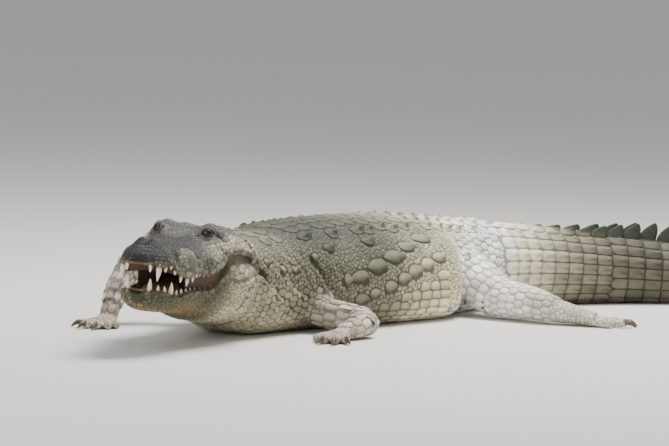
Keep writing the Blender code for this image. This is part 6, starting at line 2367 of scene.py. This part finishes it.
@dataclass(frozen=True)
class Studio:
    """Pale floor, soft lamps, and a long lens a little above the animal."""

    focus: Point = (-0.034, -0.676, 0.342)
    distance: float = 14.0
    elevation: float = 5.0
    roll: float = 1.5
    view_width: float = 1.9114  # metres across the picture at the focus
    sensor: float = 36.0  # millimetres
    clip_end: float = 300.0
    floor_size: float = 90.0  # half its edge, in metres
    floor_colour: Colour = (0.74, 0.72, 0.68)
    sky_colour: Colour = (0.85, 0.88, 0.92)
    sky_strength: float = 0.56
    lamps: tuple[Lamp, ...] = (
        Lamp("key", (1.2, 0.6, 4.2), (0.1, -0.3, 0.1), 2.0, 390.0, (1.0, 0.97, 0.92)),
        Lamp("fill", (-3.0, -5.0, 2.6), (0.0, -0.5, 0.2), 3.5, 150.0, (0.96, 0.97, 1.0)),
    )

    def camera(self) -> bpy.types.Object:
        """Camera that looks along +Y, tipped down by the elevation and rolled a little."""
        tip, roll = np.radians(self.elevation), np.radians(self.roll)
        ahead = np.array([0.0, np.cos(tip), -np.sin(tip)])
        level = np.array([1.0, 0.0, 0.0])
        upright = np.cross(level, ahead)
        right = level * np.cos(roll) + upright * np.sin(roll)
        up = upright * np.cos(roll) - level * np.sin(roll)
        place = np.array(self.focus) - ahead * self.distance
        data = bpy.data.cameras.new("camera")
        data.sensor_width = self.sensor
        data.lens = self.sensor * self.distance / self.view_width
        data.clip_end = self.clip_end
        made = bpy.data.objects.new("camera", data)
        columns = np.eye(4)
        columns[:3, 0], columns[:3, 1], columns[:3, 2], columns[:3, 3] = right, up, -ahead, place
        made.matrix_world = Matrix(columns.tolist())
        bpy.context.scene.collection.objects.link(made)
        bpy.context.scene.camera = made
        return made

    def sky(self) -> None:
        """Pale even light from all round."""
        world = bpy.data.worlds.new("room")
        world.use_nodes = True
        background = world.node_tree.nodes["Background"]
        background.inputs["Color"].default_value = (*self.sky_colour, 1.0)
        background.inputs["Strength"].default_value = self.sky_strength
        bpy.context.scene.world = world

    def floor(self) -> bpy.types.Object:
        """Flat square wide enough to fill the picture from every side."""
        edge = np.array([-self.floor_size, self.floor_size])
        x, y = np.meshgrid(edge, edge)
        grid = np.stack([x, y, np.zeros_like(x)], -1)
        made = mesh_object("floor", Net(grid.reshape(-1, 3), [np.array([[0, 1, 3, 2]])]))
        finish = bpy.data.materials.new("studio_floor")
        finish.use_nodes = True
        shader = finish.node_tree.nodes["Principled BSDF"]
        shader.inputs["Roughness"].default_value = 0.9
        shader.inputs["Base Color"].default_value = (*self.floor_colour, 1.0)
        made.data.materials.append(finish)
        return made

    def build(self) -> None:
        """Floor, lamps, sky and camera."""
        self.floor()
        for lamp in self.lamps:
            lamp.build()
        self.sky()
        self.camera()


# ---------------------------------------------------------------- the whole model
# Nodes that the skin stands for.
FLESH = (
    "head_upper", "jaw_lower", "neck", "trunk", "tail_base", "tail_middle", "tail_end",
    *(f"{node}_{limb.side}" for limb in LIMBS for node in limb.nodes),
)  # fmt: skip
# Slot of each piece of the coat, by the second word of its name.
COAT_SLOTS = {
    "neck": "hide_body", "trunk": "hide_body", "rump": "hide_body", "tail": "hide_tail",
    "head": "hide_head", "jaw": "hide_jaw", "arm": "hide_limb", "leg": "hide_limb",
}  # fmt: skip


def placed(piece: bpy.types.Object, slot: str, *nodes: str) -> None:
    """Fixes a piece to the model, hides the nodes that it stands for, and reports it."""
    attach(piece, "root")
    if nodes:
        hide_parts(*nodes)
    log.info("%s: %d faces", piece.name, len(piece.data.polygons))


def main() -> None:
    """Builds the studio, then the animal from the skin outwards."""
    logging.basicConfig(level=logging.INFO)
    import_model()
    Studio().build()
    skin = Skin().build()
    placed(skin, "hide_body", *FLESH)
    head_hide, body_hide = HEAD_HIDE.material(), HIDE.material()
    for piece in Coat(skin, grounds()).build(MARKINGS):
        slot = COAT_SLOTS[piece.name.split("_")[1]]
        piece.data.materials.append(head_hide if slot in ("hide_head", "hide_jaw") else body_hide)
        placed(piece, slot)
    placed(Crest().build(), "hide_tail")
    gloss = EYE_GLOSS.material()
    for eye in EYES:
        ball, lids = eye.ball(), eye.lids()
        ball.data.materials.append(gloss)
        lids.data.materials.append(head_hide)
        placed(ball, "eye", f"eye_{eye.name}")
        placed(lids, "hide_head")
    for jaw in JAWS:
        placed(jaw.teeth(), "tooth")
        placed(jaw.gums(), "mouth")
    placed(Tongue().build(), "tongue", "tongue")
    for limb in LIMBS:
        for piece, node in Claws(limb).build():
            placed(piece, "claw", node)


if __name__ == "__main__":
    main()
